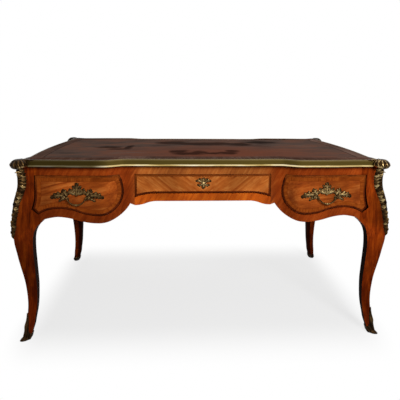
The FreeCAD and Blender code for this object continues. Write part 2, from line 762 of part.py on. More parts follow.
def handle_mount(band, field):
    """Right-hand handle mount on the drawer field, with its bored posts and studs."""
    face = half_depth(HANDLE_X)
    plate = through_y(handle_outline()).common(band).cut(field)
    plate = plate.common(FRONT_SPACE)
    for side in (-1, 1):
        x = HANDLE_X + side * POST_SPACING / 2
        root = Vector(x, -face, HANDLE_Z)
        post = cylinder(root, Vector(0, -1, 0), HANDLE_POST_RADIUS, HANDLE_POST_LENGTH)
        plate = plate.fuse(post.cut(field))
        stud_length = face + PLATE_THICKNESS / 2 - FRONT_BACK + STUD_END
        root.y -= PLATE_THICKNESS / 2
        plate = plate.fuse(cylinder(root, Vector(0, 1, 0), STUD_RADIUS, stud_length))
    bore_half = BAIL_HALF_WIDTH + PIN_LENGTH + PIN_CLEARANCE
    pivot = Vector(HANDLE_X - bore_half, -face - PIVOT_STAND, HANDLE_Z)
    bore = cylinder(pivot, Vector(1, 0, 0), PIN_RADIUS + PIN_CLEARANCE, 2 * bore_half)
    return plate.cut(bore).removeSplitter()


def stud_holes():
    """Holes for the right-hand handle's studs through the drawer front."""
    holes = []
    for side in (-1, 1):
        x = HANDLE_X + side * POST_SPACING / 2
        start = Vector(x, -HALF_DEPTH, HANDLE_Z)
        radius = STUD_RADIUS + STUD_HOLE_CLEARANCE
        holes.append(cylinder(start, Vector(0, 1, 0), radius, HALF_DEPTH))
    return Part.makeCompound(holes)


def bail():
    """Right-hand swinging bail with its pivot pins, hanging at rest."""
    centre = Vector(HANDLE_X, -half_depth(HANDLE_X) - PIVOT_STAND, HANDLE_Z)
    across = Vector(BAIL_HALF_WIDTH, 0, 0)
    drop = Vector(0, 0, -BAIL_DROP)
    arc = Part.Arc(centre - across, centre + drop, centre + across)
    path = Part.Wire([arc.toShape()])
    start = arc.tangent(arc.FirstParameter)[0]
    ring = Part.Wire([Part.makeCircle(BAIL_RADIUS, centre - across, start)])
    bar = path.makePipeShell([ring], True, False)
    for side in (-1, 1):
        end = centre + across * side
        knuckle = Part.makeSphere(KNUCKLE_RADIUS, end)
        pin = cylinder(end, Vector(side, 0, 0), PIN_RADIUS, PIN_LENGTH)
        bar = bar.fuse(knuckle).fuse(pin)
    return bar.removeSplitter()


def keyhole():
    """Keyhole cut from the front face back into the lock."""
    depth = FRONT_BACK + LOCK_DEPTH / 2
    eye = cylinder(Vector(0, -HALF_DEPTH, KEYHOLE_Z), Vector(0, 1, 0),
                   KEYHOLE_RADIUS, HALF_DEPTH - depth)
    half = KEYHOLE_SLOT_WIDTH / 2
    slot = box(-half, half, -HALF_DEPTH, -depth, KEYHOLE_Z - KEYHOLE_SLOT, KEYHOLE_Z)
    return eye.fuse(slot)


def escutcheon(band, field):
    """Cartouche round the keyhole of the middle drawer."""
    half = [(0.0, 1.0), (0.35, 0.80), (0.55, 0.45), (1.0, 0.35), (0.80, -0.10),
            (0.55, -0.40), (0.40, -0.85), (0.0, -1.0)]
    right = [(u * ESCUTCHEON_HALF_WIDTH, v * ESCUTCHEON_HALF_HEIGHT) for u, v in half]
    left = [(-x, z) for x, z in reversed(right[1:-1])]
    curve = Part.BSplineCurve()
    curve.interpolate([Vector(x, 0, KEYHOLE_Z + z) for x, z in right + left], True)
    plate = through_y([curve.toShape()]).common(band).cut(field)
    return plate.common(FRONT_SPACE).cut(keyhole())


def lock_parts():
    """Lock case let into the middle drawer front, its bolt, and the rail mortise."""
    half = LOCK_WIDTH / 2
    y0 = -FRONT_BACK - LOCK_DEPTH
    case = box(-half, half, y0, -FRONT_BACK, LOCK_TOP - LOCK_HEIGHT, LOCK_TOP)
    pocket = case.copy()
    middle = y0 + LOCK_DEPTH / 2
    thick = BOLT_THICKNESS / 2
    wide = BOLT_WIDTH / 2
    bolt_top = LOCK_TOP - RUNNING_GAP
    bolt = box(-wide, wide, middle - thick, middle + thick, bolt_top - BOLT_LENGTH, bolt_top)
    gap = BOLT_CLEARANCE
    chamber = box(-wide - gap, wide + gap, middle - thick - gap, middle + thick + gap,
                  bolt_top - BOLT_LENGTH - BOLT_TRAVEL, LOCK_TOP)
    case = case.cut(chamber).cut(keyhole())
    room = MORTISE_ROOM
    mortise = box(-wide - room, wide + room, middle - thick - room, middle + thick + room,
                  OPENING_TOP, OPENING_TOP + BOLT_TRAVEL + room)
    return case, bolt, pocket, mortise


def drawer_box(x0, x1, floor):
    """Two sides and a back, grooved for the bottom, then the bottom itself."""
    y0 = -FRONT_BACK
    y1 = BOX_END
    low = floor + BOX_BOTTOM_RAISE
    bottom = box(x0 + BOX_SIDE - BOX_GROOVE, x1 - BOX_SIDE + BOX_GROOVE,
                 y0 - BOX_GROOVE, y1, low, low + BOX_BOTTOM)
    sides = [box(x0, x0 + BOX_SIDE, y0, y1, floor, BOX_TOP),
             box(x1 - BOX_SIDE, x1, y0, y1, floor, BOX_TOP)]
    back = box(x0 + BOX_SIDE, x1 - BOX_SIDE, y1 - BOX_SIDE, y1, low + BOX_BOTTOM, BOX_TOP)
    walls = [side.cut(bottom) for side in sides] + [back]
    return group(walls), bottom


def drawer_rails(x0, x1, floor, guides):
    """Runner with its guide, kicker and stop beside each side of a drawer box."""
    y0 = -FRONT_BACK
    y1 = FRONT_BACK
    top = floor - RUNNING_GAP
    runners = []
    kickers = []
    stops = []
    for edge, way, guide in ((x0, 1, guides[0]), (x1, -1, guides[1])):
        near = sorted((edge - way * GUIDE_GAP, guide))
        span = sorted((guide, edge + way * RUNNER_WIDTH))
        rest = box(span[0], span[1], y0, y1, top - RUNNER_HEIGHT, top)
        fence = box(near[0], near[1], y0, y1, top, top + GUIDE_HEIGHT)
        runners.append(rest.fuse(fence).removeSplitter())
        above = sorted((guide, edge + way * KICKER_WIDTH))
        kickers.append(box(above[0], above[1], y0, y1, BOX_TOP + KICKER_GAP, FRIEZE_TOP))
        block = sorted((edge, edge + way * RUNNER_WIDTH))
        stops.append(box(block[0], block[1], BOX_END + RUNNING_GAP,
                         BOX_END + RUNNING_GAP + STOP_LENGTH, top, top + STOP_HEIGHT))
    return runners, kickers, stops


def frieze_parts(ring_channels, lock_mortise, back_holes):
    """Rails, aprons, dividers, back and ends round the drawers."""
    parts = {}
    hollow = box(-FAR, FAR, -FRONT_BACK, FRONT_BACK, 0, FAR)
    frieze = through_y(frieze_outline()).common(depth_band(0)).cut(hollow)
    rail_tenon, apron_tenon, end_tenon = post_tenons()
    side_hole = through_y(side_opening())

    # Front: one shape in elevation, cut into rail, aprons and dividers
    front = frieze.common(FRONT_SPACE).cut(through_y(centre_opening()))
    front = front.cut(side_hole).cut(flipped_x(side_hole))
    rail = between_heights(front, OPENING_TOP, FRIEZE_TOP).cut(lock_mortise)
    tenon = flipped_y(rail_tenon)
    parts["front_top_rail"] = rail.fuse(tenon).fuse(flipped_x(tenon)).removeSplitter()
    lower = between_heights(front, 0, OPENING_TOP)
    joint = HALF_LENGTH - APRON_JOINT
    apron = lower.common(box(joint, FAR, -FAR, FAR, 0, FAR))
    apron = apron.fuse(flipped_y(apron_tenon)).removeSplitter()
    divider = lower.common(box(CENTRE_HALF, joint, -FAR, FAR, 0, FAR))
    centre = lower.common(box(-CENTRE_HALF, CENTRE_HALF, -FAR, FAR, 0, FAR))
    parts["front_apron_right"] = apron
    parts["front_apron_left"] = flipped_x(apron)
    parts["front_apron_centre"] = centre
    parts["drawer_divider_right"] = divider
    parts["drawer_divider_left"] = flipped_x(divider)

    # Back: one board with channels for the mouldings of its false drawers
    back = frieze.common(BACK_SPACE).cut(back_holes)
    for channel in ring_channels:
        back = back.cut(channel)
    for tenon in (rail_tenon, apron_tenon):
        back = back.fuse(tenon).fuse(flipped_x(tenon))
    parts["back_frieze"] = back.removeSplitter()
    return parts, end_tenon


def end_parts(end_tenon):
    """End friezes, each with a channel for its panel moulding."""
    hollow = box(-END_BACK, END_BACK, -FAR, FAR, 0, FAR)
    end = through_x(end_outline()).common(length_band(0)).cut(hollow).common(RIGHT_SPACE)
    ring, channel = sunk_ring(through_x, end_panel_outline(), length_band, RIGHT_SPACE)
    end = end.cut(channel).fuse(end_tenon).fuse(flipped_y(end_tenon)).removeSplitter()
    return {"end_frieze_right": end, "end_frieze_left": flipped_x(end)}, ring


def leg_parts(leg, side_channel):
    """Legs with their joints cut, and the bronzes that sit on them."""
    parts = {}
    jointed = leg
    for tenon in post_tenons():
        jointed = jointed.cut(tenon)
    rear = jointed.cut(side_channel)
    pocket = box(0, FAR, -FAR, RUNNING_GAP - FRONT_BACK, 0, FAR)
    opening = through_y(side_opening()).common(pocket)
    front = flipped_y(jointed).cut(opening)
    legs = {"front_right": front, "front_left": flipped_x(front),
            "rear_right": rear, "rear_left": flipped_x(rear)}
    shoes = four_corners(sabot(leg))
    mounts = four_corners(chute(leg))
    for corner in legs:
        parts["leg_" + corner] = legs[corner]
        parts["sabot_" + corner] = shoes[corner]
        parts["chute_" + corner] = mounts[corner]
    return parts


def top_parts(leg):
    """Board, veneer border, leather, brass edge and corner clasps."""
    parts = {}
    core = depth_band(BOARD_OVERHANG).common(length_band(BOARD_OVERHANG))
    veneer_foot = HEIGHT - VENEER_THICKNESS
    neck = lobe_neck()
    round_corner = lobe().fuse(neck)
    lobes = four_corners(round_corner)
    board = between_heights(core, FRIEZE_TOP, HEIGHT)
    for name in lobes:
        board = board.fuse(lobes[name])
    board = board.removeSplitter()
    parts["top_board"] = between_heights(board, 0, veneer_foot)
    inset = BOARD_OVERHANG - BORDER_WIDTH
    leather = depth_band(inset).common(length_band(inset))
    well = depth_band(inset + LEATHER_GAP).common(length_band(inset + LEATHER_GAP))
    parts["top_crossbanding"] = between_heights(board, veneer_foot, HEIGHT).cut(well)
    parts["leather_inset"] = between_heights(leather, veneer_foot, veneer_foot + LEATHER_THICKNESS)

    ring = corner_clasp()
    clasp = ring.cut(core).cut(neck).cut(leg)
    rings = four_corners(ring.fuse(round_corner))
    clasps = four_corners(clasp)
    for corner in clasps:
        parts["corner_clasp_" + corner] = clasps[corner]

    places = plan_places()
    ends = spread(-HALF_DEPTH, HALF_DEPTH, END_STEPS)
    long_path = [Vector(x, half_depth(x) + BOARD_OVERHANG, HEIGHT) for x in places]
    short_path = [Vector(half_length(y) + BOARD_OVERHANG, y, HEIGHT) for y in ends]
    long_edge = edge_moulding(spline(long_path), long_path[0], Vector(0, 1, 0))
    short_edge = edge_moulding(spline(short_path), short_path[0], Vector(1, 0, 0))
    lobe_x = HALF_LENGTH - LOBE_INSET
    lobe_y = HALF_DEPTH - LOBE_INSET
    long_edge = long_edge.common(box(-lobe_x, lobe_x, 0, FAR, 0, FAR))
    short_edge = short_edge.common(box(0, FAR, -lobe_y, lobe_y, 0, FAR))
    long_edge = long_edge.cut(core)
    short_edge = short_edge.cut(core)
    for corner in ("rear_left", "rear_right"):
        long_edge = long_edge.cut(rings[corner])
    for corner in ("front_right", "rear_right"):
        short_edge = short_edge.cut(rings[corner])
    long_edge = largest(long_edge)
    short_edge = largest(short_edge)
    parts["edge_moulding_back"] = long_edge
    parts["edge_moulding_front"] = flipped_y(long_edge)
    parts["edge_moulding_right"] = short_edge
    parts["edge_moulding_left"] = flipped_x(short_edge)
    return parts


def drawer_front(outline, ring):
    """Bowed front that fills an opening, with a channel for its moulding."""
    hollow = box(-FAR, FAR, -FRONT_BACK, FAR, 0, FAR)
    body = through_y(outline, DRAWER_GAP).common(depth_band(0)).cut(hollow)
    return body.cut(ring)


def drawer_parts(rings, channels):
    """The three drawers with their boxes, handles and lock."""
    parts = {}
    raised = depth_band(PLATE_THICKNESS)
    field = depth_band(0)
    walls, bottom = drawer_box(SIDE_BOX_IN, SIDE_BOX_OUT, SIDE_BOX_FLOOR)
    front = drawer_front(side_opening(), channels[0]).cut(bottom).cut(stud_holes())
    mount = handle_mount(raised, field)
    right = {"front": front, "moulding": rings[0], "box": walls, "bottom": bottom}
    for piece, shape in right.items():
        parts["drawer_right_" + piece] = shape
        parts["drawer_left_" + piece] = flipped_x(shape)
    parts["handle_mount_right"] = mount
    parts["handle_mount_left"] = flipped_x(mount)
    parts["bail_right"] = bail()
    parts["bail_left"] = flipped_x(bail())
    parts["back_handle_mounts"] = group([flipped_y(mount), flipped_x(flipped_y(mount))])
    parts["back_bail_right"] = flipped_y(bail())
    parts["back_bail_left"] = flipped_x(flipped_y(bail()))

    case, bolt, pocket, _ = lock_parts()
    walls, bottom = drawer_box(-CENTRE_BOX_OUT, CENTRE_BOX_OUT, CENTRE_BOX_FLOOR)
    front = drawer_front(centre_opening(), channels[1]).cut(bottom).cut(pocket).cut(keyhole())
    parts["drawer_centre_front"] = front
    parts["drawer_centre_moulding"] = rings[1]
    parts["drawer_centre_box"] = walls
    parts["drawer_centre_bottom"] = bottom
    parts["escutcheon"] = escutcheon(raised, field)
    parts["lock_case"] = case
    parts["lock_bolt"] = bolt
    return parts


def inner_parts():
    """Partitions between the drawers, and the strips that the drawers run on."""
    partition = box(PARTITION_IN, PARTITION_OUT, -FRONT_BACK, FRONT_BACK,
                    FRIEZE_TOP - PARTITION_HEIGHT, FRIEZE_TOP)
    side = drawer_rails(SIDE_BOX_IN, SIDE_BOX_OUT, SIDE_BOX_FLOOR, (PARTITION_OUT, JOINT_X))
    centre = drawer_rails(-CENTRE_BOX_OUT, CENTRE_BOX_OUT, CENTRE_BOX_FLOOR,
                          (-PARTITION_IN, PARTITION_IN))
    parts = {"partitions": group([partition, flipped_x(partition)])}
    names = ("drawer_runners", "drawer_kickers", "drawer_stops")
    for name, beside, middle in zip(names, side, centre):
        pieces = beside + [flipped_x(piece) for piece in beside] + middle
        parts[name] = group(pieces)
    return parts


def build():
    """Every sub-part by name."""
    side_ring, side_channel = sunk_ring(through_y, side_opening(), depth_band, FRONT_SPACE)
    mid_ring, mid_channel = sunk_ring(through_y, centre_opening(), depth_band, FRONT_SPACE)
    back_side = flipped_y(side_channel)
    back_channels = [back_side, flipped_x(back_side), flipped_y(mid_channel)]
    back_holes = flipped_y(stud_holes())
    back_holes = back_holes.fuse(flipped_x(back_holes))
    leg = plain_leg()
    parts, end_tenon = frieze_parts(back_channels, lock_parts()[3], back_holes)
    ends, end_ring = end_parts(end_tenon)
    parts.update(ends)
    back_ring = flipped_y(side_ring)
    parts["panel_mouldings"] = group(
        [back_ring, flipped_x(back_ring), flipped_y(mid_ring), end_ring, flipped_x(end_ring)])
    parts.update(leg_parts(leg, back_side))
    parts.update(top_parts(leg))
    parts.update(inner_parts())
    parts.update(drawer_parts((side_ring, mid_ring), (side_channel, mid_channel)))
    return parts


if __name__ == "__main__":
    os.makedirs("parts", exist_ok=True)
    for name, shape in build().items():
        shape.exportStep("parts/" + name + ".step")
        print(name, shape.isValid(), len(shape.Solids), round(shape.Volume))
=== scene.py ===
# %% [markdown]
# A flat-topped writing desk in the rococo taste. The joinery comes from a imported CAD
# model, which this lesson loads as a fixed frame. Blender then adds what the eye enjoys:
# veneer with grain, worn leather, polished brass, and cast bronze leaves on the corners.

# %% Load the frame
import json
import math

import bmesh
import bpy
from mathutils import Matrix, Vector
from mathutils.bvhtree import BVHTree


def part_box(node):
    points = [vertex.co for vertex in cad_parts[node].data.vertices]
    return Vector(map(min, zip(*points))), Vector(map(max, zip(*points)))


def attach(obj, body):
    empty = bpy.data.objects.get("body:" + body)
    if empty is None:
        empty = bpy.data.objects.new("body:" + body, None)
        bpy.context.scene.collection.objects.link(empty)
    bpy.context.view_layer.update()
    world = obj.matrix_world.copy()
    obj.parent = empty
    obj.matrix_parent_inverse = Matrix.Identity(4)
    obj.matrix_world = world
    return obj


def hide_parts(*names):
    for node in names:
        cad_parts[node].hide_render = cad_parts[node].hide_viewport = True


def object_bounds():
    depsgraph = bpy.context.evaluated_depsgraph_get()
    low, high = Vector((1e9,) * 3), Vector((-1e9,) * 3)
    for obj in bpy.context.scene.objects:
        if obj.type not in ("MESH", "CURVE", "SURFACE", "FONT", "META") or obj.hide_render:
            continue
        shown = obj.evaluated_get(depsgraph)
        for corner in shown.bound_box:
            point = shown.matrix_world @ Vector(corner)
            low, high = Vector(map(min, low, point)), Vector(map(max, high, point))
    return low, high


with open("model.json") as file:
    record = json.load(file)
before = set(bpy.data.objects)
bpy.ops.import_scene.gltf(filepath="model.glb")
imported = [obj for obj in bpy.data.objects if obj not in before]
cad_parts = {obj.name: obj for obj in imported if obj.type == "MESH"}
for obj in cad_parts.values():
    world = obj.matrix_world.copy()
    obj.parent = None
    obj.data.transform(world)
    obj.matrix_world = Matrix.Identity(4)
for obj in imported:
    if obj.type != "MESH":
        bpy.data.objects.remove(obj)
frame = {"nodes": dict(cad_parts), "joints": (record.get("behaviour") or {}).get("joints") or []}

MM = 0.001
SIGNS = {"front_left": (-1, -1), "front_right": (1, -1), "rear_left": (-1, 1), "rear_right": (1, 1)}
DRAWERS = ("left", "right", "centre")
nodes = frame["nodes"]
cad_low, cad_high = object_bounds()
print("nodes", len(nodes), "box", [round(v, 3) for v in (*cad_low, *cad_high)])

# %% [markdown]
# The camera stands in front of the desk, a little left of the middle, at chest height and
# tipped slightly down. A lens shift then puts the desk at its place in the picture. More
# tilt would do that too, but it would make the upright legs lean.

# %% Camera
CAMERA_PLACE = Vector((-0.099, -1.873, 1.055))
CAMERA_YAW, CAMERA_PITCH, CAMERA_ROLL = 2.55, 4.9, 0.47
LENS, LENS_SHIFT = 32.45, (0.008, -0.1865)
camera_data = bpy.data.cameras.new("photographer")
camera = bpy.data.objects.new("photographer", camera_data)
bpy.context.scene.collection.objects.link(camera)
camera_data.sensor_width = 36.0
camera_data.lens = LENS
camera_data.shift_x, camera_data.shift_y = LENS_SHIFT
camera_data.clip_start = 0.05
turn = Matrix.Rotation(math.radians(-CAMERA_YAW), 4, "Z")
tip = Matrix.Rotation(math.radians(90 - CAMERA_PITCH), 4, "X")
roll = Matrix.Rotation(math.radians(CAMERA_ROLL), 4, "Z")
camera.matrix_world = Matrix.Translation(CAMERA_PLACE) @ turn @ tip @ roll
bpy.context.scene.camera = camera
print("camera", [round(v, 3) for v in camera.matrix_world.translation])

# %% [markdown]
# One function turns a written sRGB colour into the linear values that shaders use. Another
# adds a node to a material, sets its values and joins its inputs. Short names for the nodes
# that come up most let a finish read as a recipe.

# %% Colour and node helpers
def linear(code):
    """Linear RGBA of a hex colour."""
    shares = [int(code[k:k + 2], 16) / 255 for k in (1, 3, 5)]
    return (*[s / 12.92 if s <= 0.04045 else ((s + 0.055) / 1.055) ** 2.4 for s in shares], 1.0)


def feed(tree, node, inputs):
    """Give a node its inputs: sockets are joined, colours and numbers are set."""
    for key, value in inputs.items():
        if isinstance(value, bpy.types.NodeSocket):
            tree.links.new(value, node.inputs[key])
        else:
            node.inputs[key].default_value = linear(value) if isinstance(value, str) else value


def add(tree, kind, inputs=None, **settings):
    """Add a shader node with its settings and inputs."""
    node = tree.nodes.new("ShaderNode" + kind)
    for key, value in settings.items():
        setattr(node, key, value)
    feed(tree, node, inputs or {})
    return node


def place_of(tree):
    """Place of the shaded point."""
    return add(tree, "TexCoord").outputs["Object"]


def mapped(tree, place, **inputs):
    """A place after a turn or a stretch."""
    return add(tree, "Mapping", {"Vector": place, **inputs}).outputs[0]


def axis_of(tree, place, axis):
    """X, Y or Z of a place."""
    return add(tree, "SeparateXYZ", {0: place}).outputs[axis]


def carried(tree, name):
    """Number that the mesh carries under a name."""
    return add(tree, "Attribute", attribute_name=name).outputs["Fac"]


def noise(tree, place, **inputs):
    """Number that wanders from place to place."""
    return add(tree, "TexNoise", {"Vector": place, "Scale": 1.0, **inputs}).outputs["Fac"]


def number(tree, operation, *values):
    """Result of a sum with numbers."""
    return add(tree, "Math", dict(enumerate(values)), operation=operation).outputs[0]


def vector(tree, operation, *values):
    """Result of a sum with vectors."""
    node = add(tree, "VectorMath", dict(enumerate(values)), operation=operation)
    return node.outputs["Value" if operation == "LENGTH" else "Vector"]


def scaled(tree, colour, level):
    """A colour made lighter or darker."""
    return add(tree, "VectorMath", {0: colour, "Scale": level}, operation="SCALE").outputs[0]


def remap(tree, value, start=0.0, end=1.0, low=0.0, high=1.0, **settings):
    """Number that goes from low to high while a value goes from start to end."""
    inputs = {"Value": value, "From Min": start, "From Max": end, "To Min": low, "To Max": high}
    return add(tree, "MapRange", inputs, **settings).outputs[0]


def mixed(tree, share, first, second, **settings):
    """Colour that goes from the first to the second while share goes from 0 to 1."""
    inputs = {"Factor": share, "A": first, "B": second}
    return add(tree, "Mix", inputs, data_type="RGBA", **settings).outputs["Result"]


def ramp(tree, value, *stops):
    """Colour that a value picks from a row of stops."""
    node = add(tree, "ValToRGB", {"Fac": value})
    row = node.color_ramp.elements
    while len(row) < len(stops):
        row.new(0.5)
    for stop, (place, code) in zip(row, stops):
        stop.position = place
        stop.color = linear(code)
    return node.outputs["Color"]


def bump(tree, height, strength, distance):
    """Normal of a finely uneven face."""
    return add(tree, "Bump", {"Height": height, "Strength": strength, "Distance": distance}).outputs[0]


def finish_of(name):
    """New empty material, with its tree and its surface shader."""
    material = bpy.data.materials.new(name)
    material.use_nodes = True
    tree = material.node_tree
    return material, tree, tree.nodes["Principled BSDF"]


def dress(material, *names):
    """Give CAD nodes a finish."""
    for name in names:
        mesh = nodes[name].data
        mesh.materials.clear()
        mesh.materials.append(material)


print("white is", linear("#ffffff"))

# %% [markdown]
# The stage is a pale floor that runs to a white distance. For the eye it glows a little,
# so that it looks white where nothing shades it, and still takes the desk's soft shadow.
# Outside a rounded rectangle round the feet it is plain white. Three soft lamps and an even
# sky light the desk at a plain level.

# %% Floor, sky and lamps
SHADE_MIDDLE, SHADE_HALF, SHADE_BLUR = (0.0, 0.02, 0.0), (0.69, 0.30, 0.0), (0.18, 0.30, 1.0)
FLOOR_HALF, FLOOR_GLOW, SKY_LIGHT = 12.0, 0.725, 0.13


def background_rays(tree):
    """1 for rays that show the background: to the camera, off metal or through glass."""
    rays = add(tree, "LightPath").outputs
    seen = number(tree, "MAXIMUM", rays["Is Camera Ray"], rays["Is Glossy Ray"])
    return number(tree, "MAXIMUM", seen, rays["Is Transmission Ray"])


floor_finish, tree, shader = finish_of("pale_paper_floor")
seen = background_rays(tree)
paper = mixed(tree, seen, "#9a9a9a", "#707070")
feed(tree, shader, {"Base Color": paper, "Roughness": 0.9, "Specular IOR Level": 0.1})
glow = add(tree, "Emission", {"Color": "#ffffff", "Strength": FLOOR_GLOW})
none = add(tree, "Emission", {"Color": "#000000", "Strength": 0.0})
pick = add(tree, "MixShader", {0: seen, 1: none.outputs[0], 2: glow.outputs[0]})
near = add(tree, "AddShader", {0: shader.outputs[0], 1: pick.outputs[0]})
spot = vector(tree, "SUBTRACT", place_of(tree), SHADE_MIDDLE)
spot = vector(tree, "SUBTRACT", vector(tree, "ABSOLUTE", spot), SHADE_HALF)
spot = vector(tree, "DIVIDE", spot, SHADE_BLUR)
spot = vector(tree, "MAXIMUM", spot, (0, 0, 0))
away = remap(tree, vector(tree, "LENGTH", spot), interpolation_type="SMOOTHSTEP")
away = number(tree, "MULTIPLY", away, seen)
white = add(tree, "Emission", {"Color": "#ffffff", "Strength": 1.0})
both = add(tree, "MixShader", {0: away, 1: near.outputs[0], 2: white.outputs[0]})
feed(tree, tree.nodes["Material Output"], {"Surface": both.outputs[0]})
floor_mesh = bpy.data.meshes.new("floor")
bm = bmesh.new()
bmesh.ops.create_grid(bm, x_segments=1, y_segments=1, size=FLOOR_HALF)
bm.to_mesh(floor_mesh)
bm.free()
floor_mesh.materials.append(floor_finish)
floor = bpy.data.objects.new("floor", floor_mesh)
bpy.context.scene.collection.objects.link(floor)

world = bpy.data.worlds.new("white_room")
world.use_nodes = True
bpy.context.scene.world = world
tree = world.node_tree
strength = remap(tree, background_rays(tree), low=SKY_LIGHT)
feed(tree, tree.nodes["Background"], {"Color": "#ffffff", "Strength": strength})


def lamp(name, place, aim, size, watts):
    """Soft rectangular lamp that looks at a point."""
    data = bpy.data.lights.new(name, "AREA")
    data.shape = "RECTANGLE"
    data.size, data.size_y = size
    data.energy = watts
    thing = bpy.data.objects.new(name, data)
    thing.location = place
    thing.rotation_euler = (Vector(aim) - Vector(place)).to_track_quat("-Z", "Y").to_euler()
    bpy.context.scene.collection.objects.link(thing)


lamp("right_softbox", (1.2, -2.9, 2.2), (0.4, -0.3, 0.6), (1.4, 1.2), 100)
lamp("left_softbox", (-2.2, -2.6, 2.0), (0.0, -0.1, 0.5), (1.8, 1.8), 5)
lamp("overhead_softbox", (0.2, 0.4, 3.0), (0.0, 0.0, 0.7), (2.6, 2.0), 36)
scene = bpy.context.scene
scene.view_settings.view_transform = "Standard"

# %% [markdown]
# Kingwood veneer is sawn in thin leaves, glued down in patterns and French polished. The
# eye sees broad flame-like figure, fine dark fibres, and a soft shine. Each part of the
# desk has its own grain direction, so one recipe takes the turn of the grain and the tones.

# %% Veneer finishes
BAND_WIDTH, LINE_WIDTH, EDGE_BLUR = 15.0 * MM, 1.4 * MM, 0.5 * MM
# Flames are nine times as long as wide. Fibres are really about half a millimetre apart and
# are drawn 3 mm apart to show.
FLAME_LENGTH, FIBRES, CLOUD = 9, (16, 330, 330), 0.34


def veneer(name, tones, turn_deg, figure, mirrored=False, band=None, painted_shades=()):
    """Polished veneer whose grain runs along X before the turn, with figure in millimetres."""
    material, tree, shader = finish_of(name)
    spot = place_of(tree)
    if mirrored:
        parts = add(tree, "SeparateXYZ", {0: spot}).outputs
        fold = number(tree, "ABSOLUTE", parts["X"])
        spot = add(tree, "CombineXYZ", {"X": fold, "Y": parts["Y"], "Z": parts["Z"]}).outputs[0]
    turned = mapped(tree, spot, Rotation=[math.radians(a) for a in turn_deg])
    across = 1 / (figure * MM)
    broad = mapped(tree, turned, Scale=(across / FLAME_LENGTH, across, across))
    flame = noise(tree, broad, Detail=5.0, Roughness=0.58, Distortion=0.9)
    fibre = noise(tree, mapped(tree, turned, Scale=FIBRES), Detail=3.0, Roughness=0.7)
    figured = add(tree, "Mix", {"Factor": 0.30, "A": flame, "B": fibre}).outputs[0]
    dark, middle, light = tones
    colour = ramp(tree, figured, (0.34, dark), (0.50, middle), (0.66, light))
    haze = noise(tree, spot, Scale=5.0, Detail=2.0)
    colour = scaled(tree, colour, remap(tree, haze, 0.35, 0.65, 1 - CLOUD, 1 + CLOUD))
    # Old polish gathers in redder, darker patches about a hand wide.
    patch = noise(tree, spot, Scale=11.0, Detail=3.0, Roughness=0.6)
    colour = mixed(tree, remap(tree, patch, 0.48, 0.68, 0.0, 0.6), colour, dark)
    if band:
        # The border's grain stands square to the edge, so it varies along the edge only.
        edge = carried(tree, "edge")
        lie = add(tree, "CombineXYZ", {"X": carried(tree, "along"), "Y": edge}).outputs[0]
        cross = noise(tree, vector(tree, "MULTIPLY", lie, (120, 25, 1)), Detail=4.0)
        cross = ramp(tree, cross, (0.35, band[0]), (0.5, band[1]), (0.65, band[2]))
        inside = remap(tree, edge, BAND_WIDTH, BAND_WIDTH + EDGE_BLUR)
        string = remap(tree, edge, BAND_WIDTH + LINE_WIDTH, BAND_WIDTH + LINE_WIDTH + EDGE_BLUR)
        colour = mixed(tree, inside, cross, mixed(tree, string, "#6a2807", colour))
    # Painted shade: each of these darkens the colour along an axis, from where it starts to where it ends, by a
    # tint.
    for axis, start, end, tint in painted_shades:
        place = axis_of(tree, vector(tree, "ABSOLUTE", spot), axis)
        depth = remap(tree, place, start, end, interpolation_type="SMOOTHSTEP")
        colour = mixed(tree, depth, colour, tint, blend_type="MULTIPLY")
    feed(tree, shader, {"Base Color": colour, "Roughness": remap(tree, haze, low=0.30, high=0.46),
                        "Normal": bump(tree, fibre, 0.12, 0.0004), "Specular IOR Level": 0.02})
    return material


UPRIGHT, SLANTED = (0, 90, 0), (0, 62, 0)
LEG_TONES = ("#451505", "#742a07", "#94400c")
RAIL_TONES = ("#8c4820", "#b06128", "#c67a3a")
# Painted light: the centre apron's tones are brighter and more orange than the rail's, for light bounced up
# from the floor.
LIT_APRON_TONES = ("#933c0e", "#bf5714", "#d26c1e")
FIELD_TONES = ("#5e240b", "#944515", "#b8682c")
LIGHT_TONES = ("#8a3f13", "#b66226", "#cf8340")
BAND_TONES = ("#6e2e0a", "#843c0f", "#954a17")
# Painted sheen: the top border's tones are light so that its ends look sheened, and a tint near the front and
# back edges darkens those borders again.
TOP_TONES = ("#4a362d", "#5a453c", "#69534a")
# Painted shadow: the wood just under the brass edge is darkened, where the top's overhang shades it.
SHADOW_UNDER_EDGE = ("Z", 0.726, 0.747, "#8f8278")
# Partly painted shade: the rail grows darker and redder towards its ends and over the dividers, where the bowed
# front turns away from the light.
RAIL_ENDS_SHADE = ("X", 0.23, 0.33, "#c09274")
# Painted shade: the legs grow darker downwards below the knee, as less light reaches them.
LOW_LEG_SHADE = ("Z", 0.50, 0.28, "#d8ccc4")
# Painted shade on the front and back borders of the top.
LONG_BORDER_SHADE = ("Y", 0.29, 0.35, "#d2bfb6")
leg_veneer = veneer("kingwood_leg_veneer", LEG_TONES, UPRIGHT, 18, painted_shades=[SHADOW_UNDER_EDGE, LOW_LEG_SHADE])
rail_veneer = veneer("kingwood_crossbanding", RAIL_TONES, SLANTED, 15, painted_shades=[SHADOW_UNDER_EDGE, RAIL_ENDS_SHADE])
apron_veneer = veneer("kingwood_apron_banding", LIT_APRON_TONES, SLANTED, 15)
back_veneer = veneer("kingwood_back_field", FIELD_TONES, (0, 0, 0), 34)
field_veneer = veneer("kingwood_side_field", FIELD_TONES, (0, 12, 0), 34, band=BAND_TONES)
chevron_veneer = veneer("kingwood_chevron_field", LIGHT_TONES, (0, 38, 0), 15, mirrored=True)
end_veneer = veneer("kingwood_end_field", FIELD_TONES, (0, 0, 90), 30, painted_shades=[SHADOW_UNDER_EDGE])
top_veneer = veneer("kingwood_top_border", TOP_TONES, (0, 0, 90), 22, painted_shades=[LONG_BORDER_SHADE])
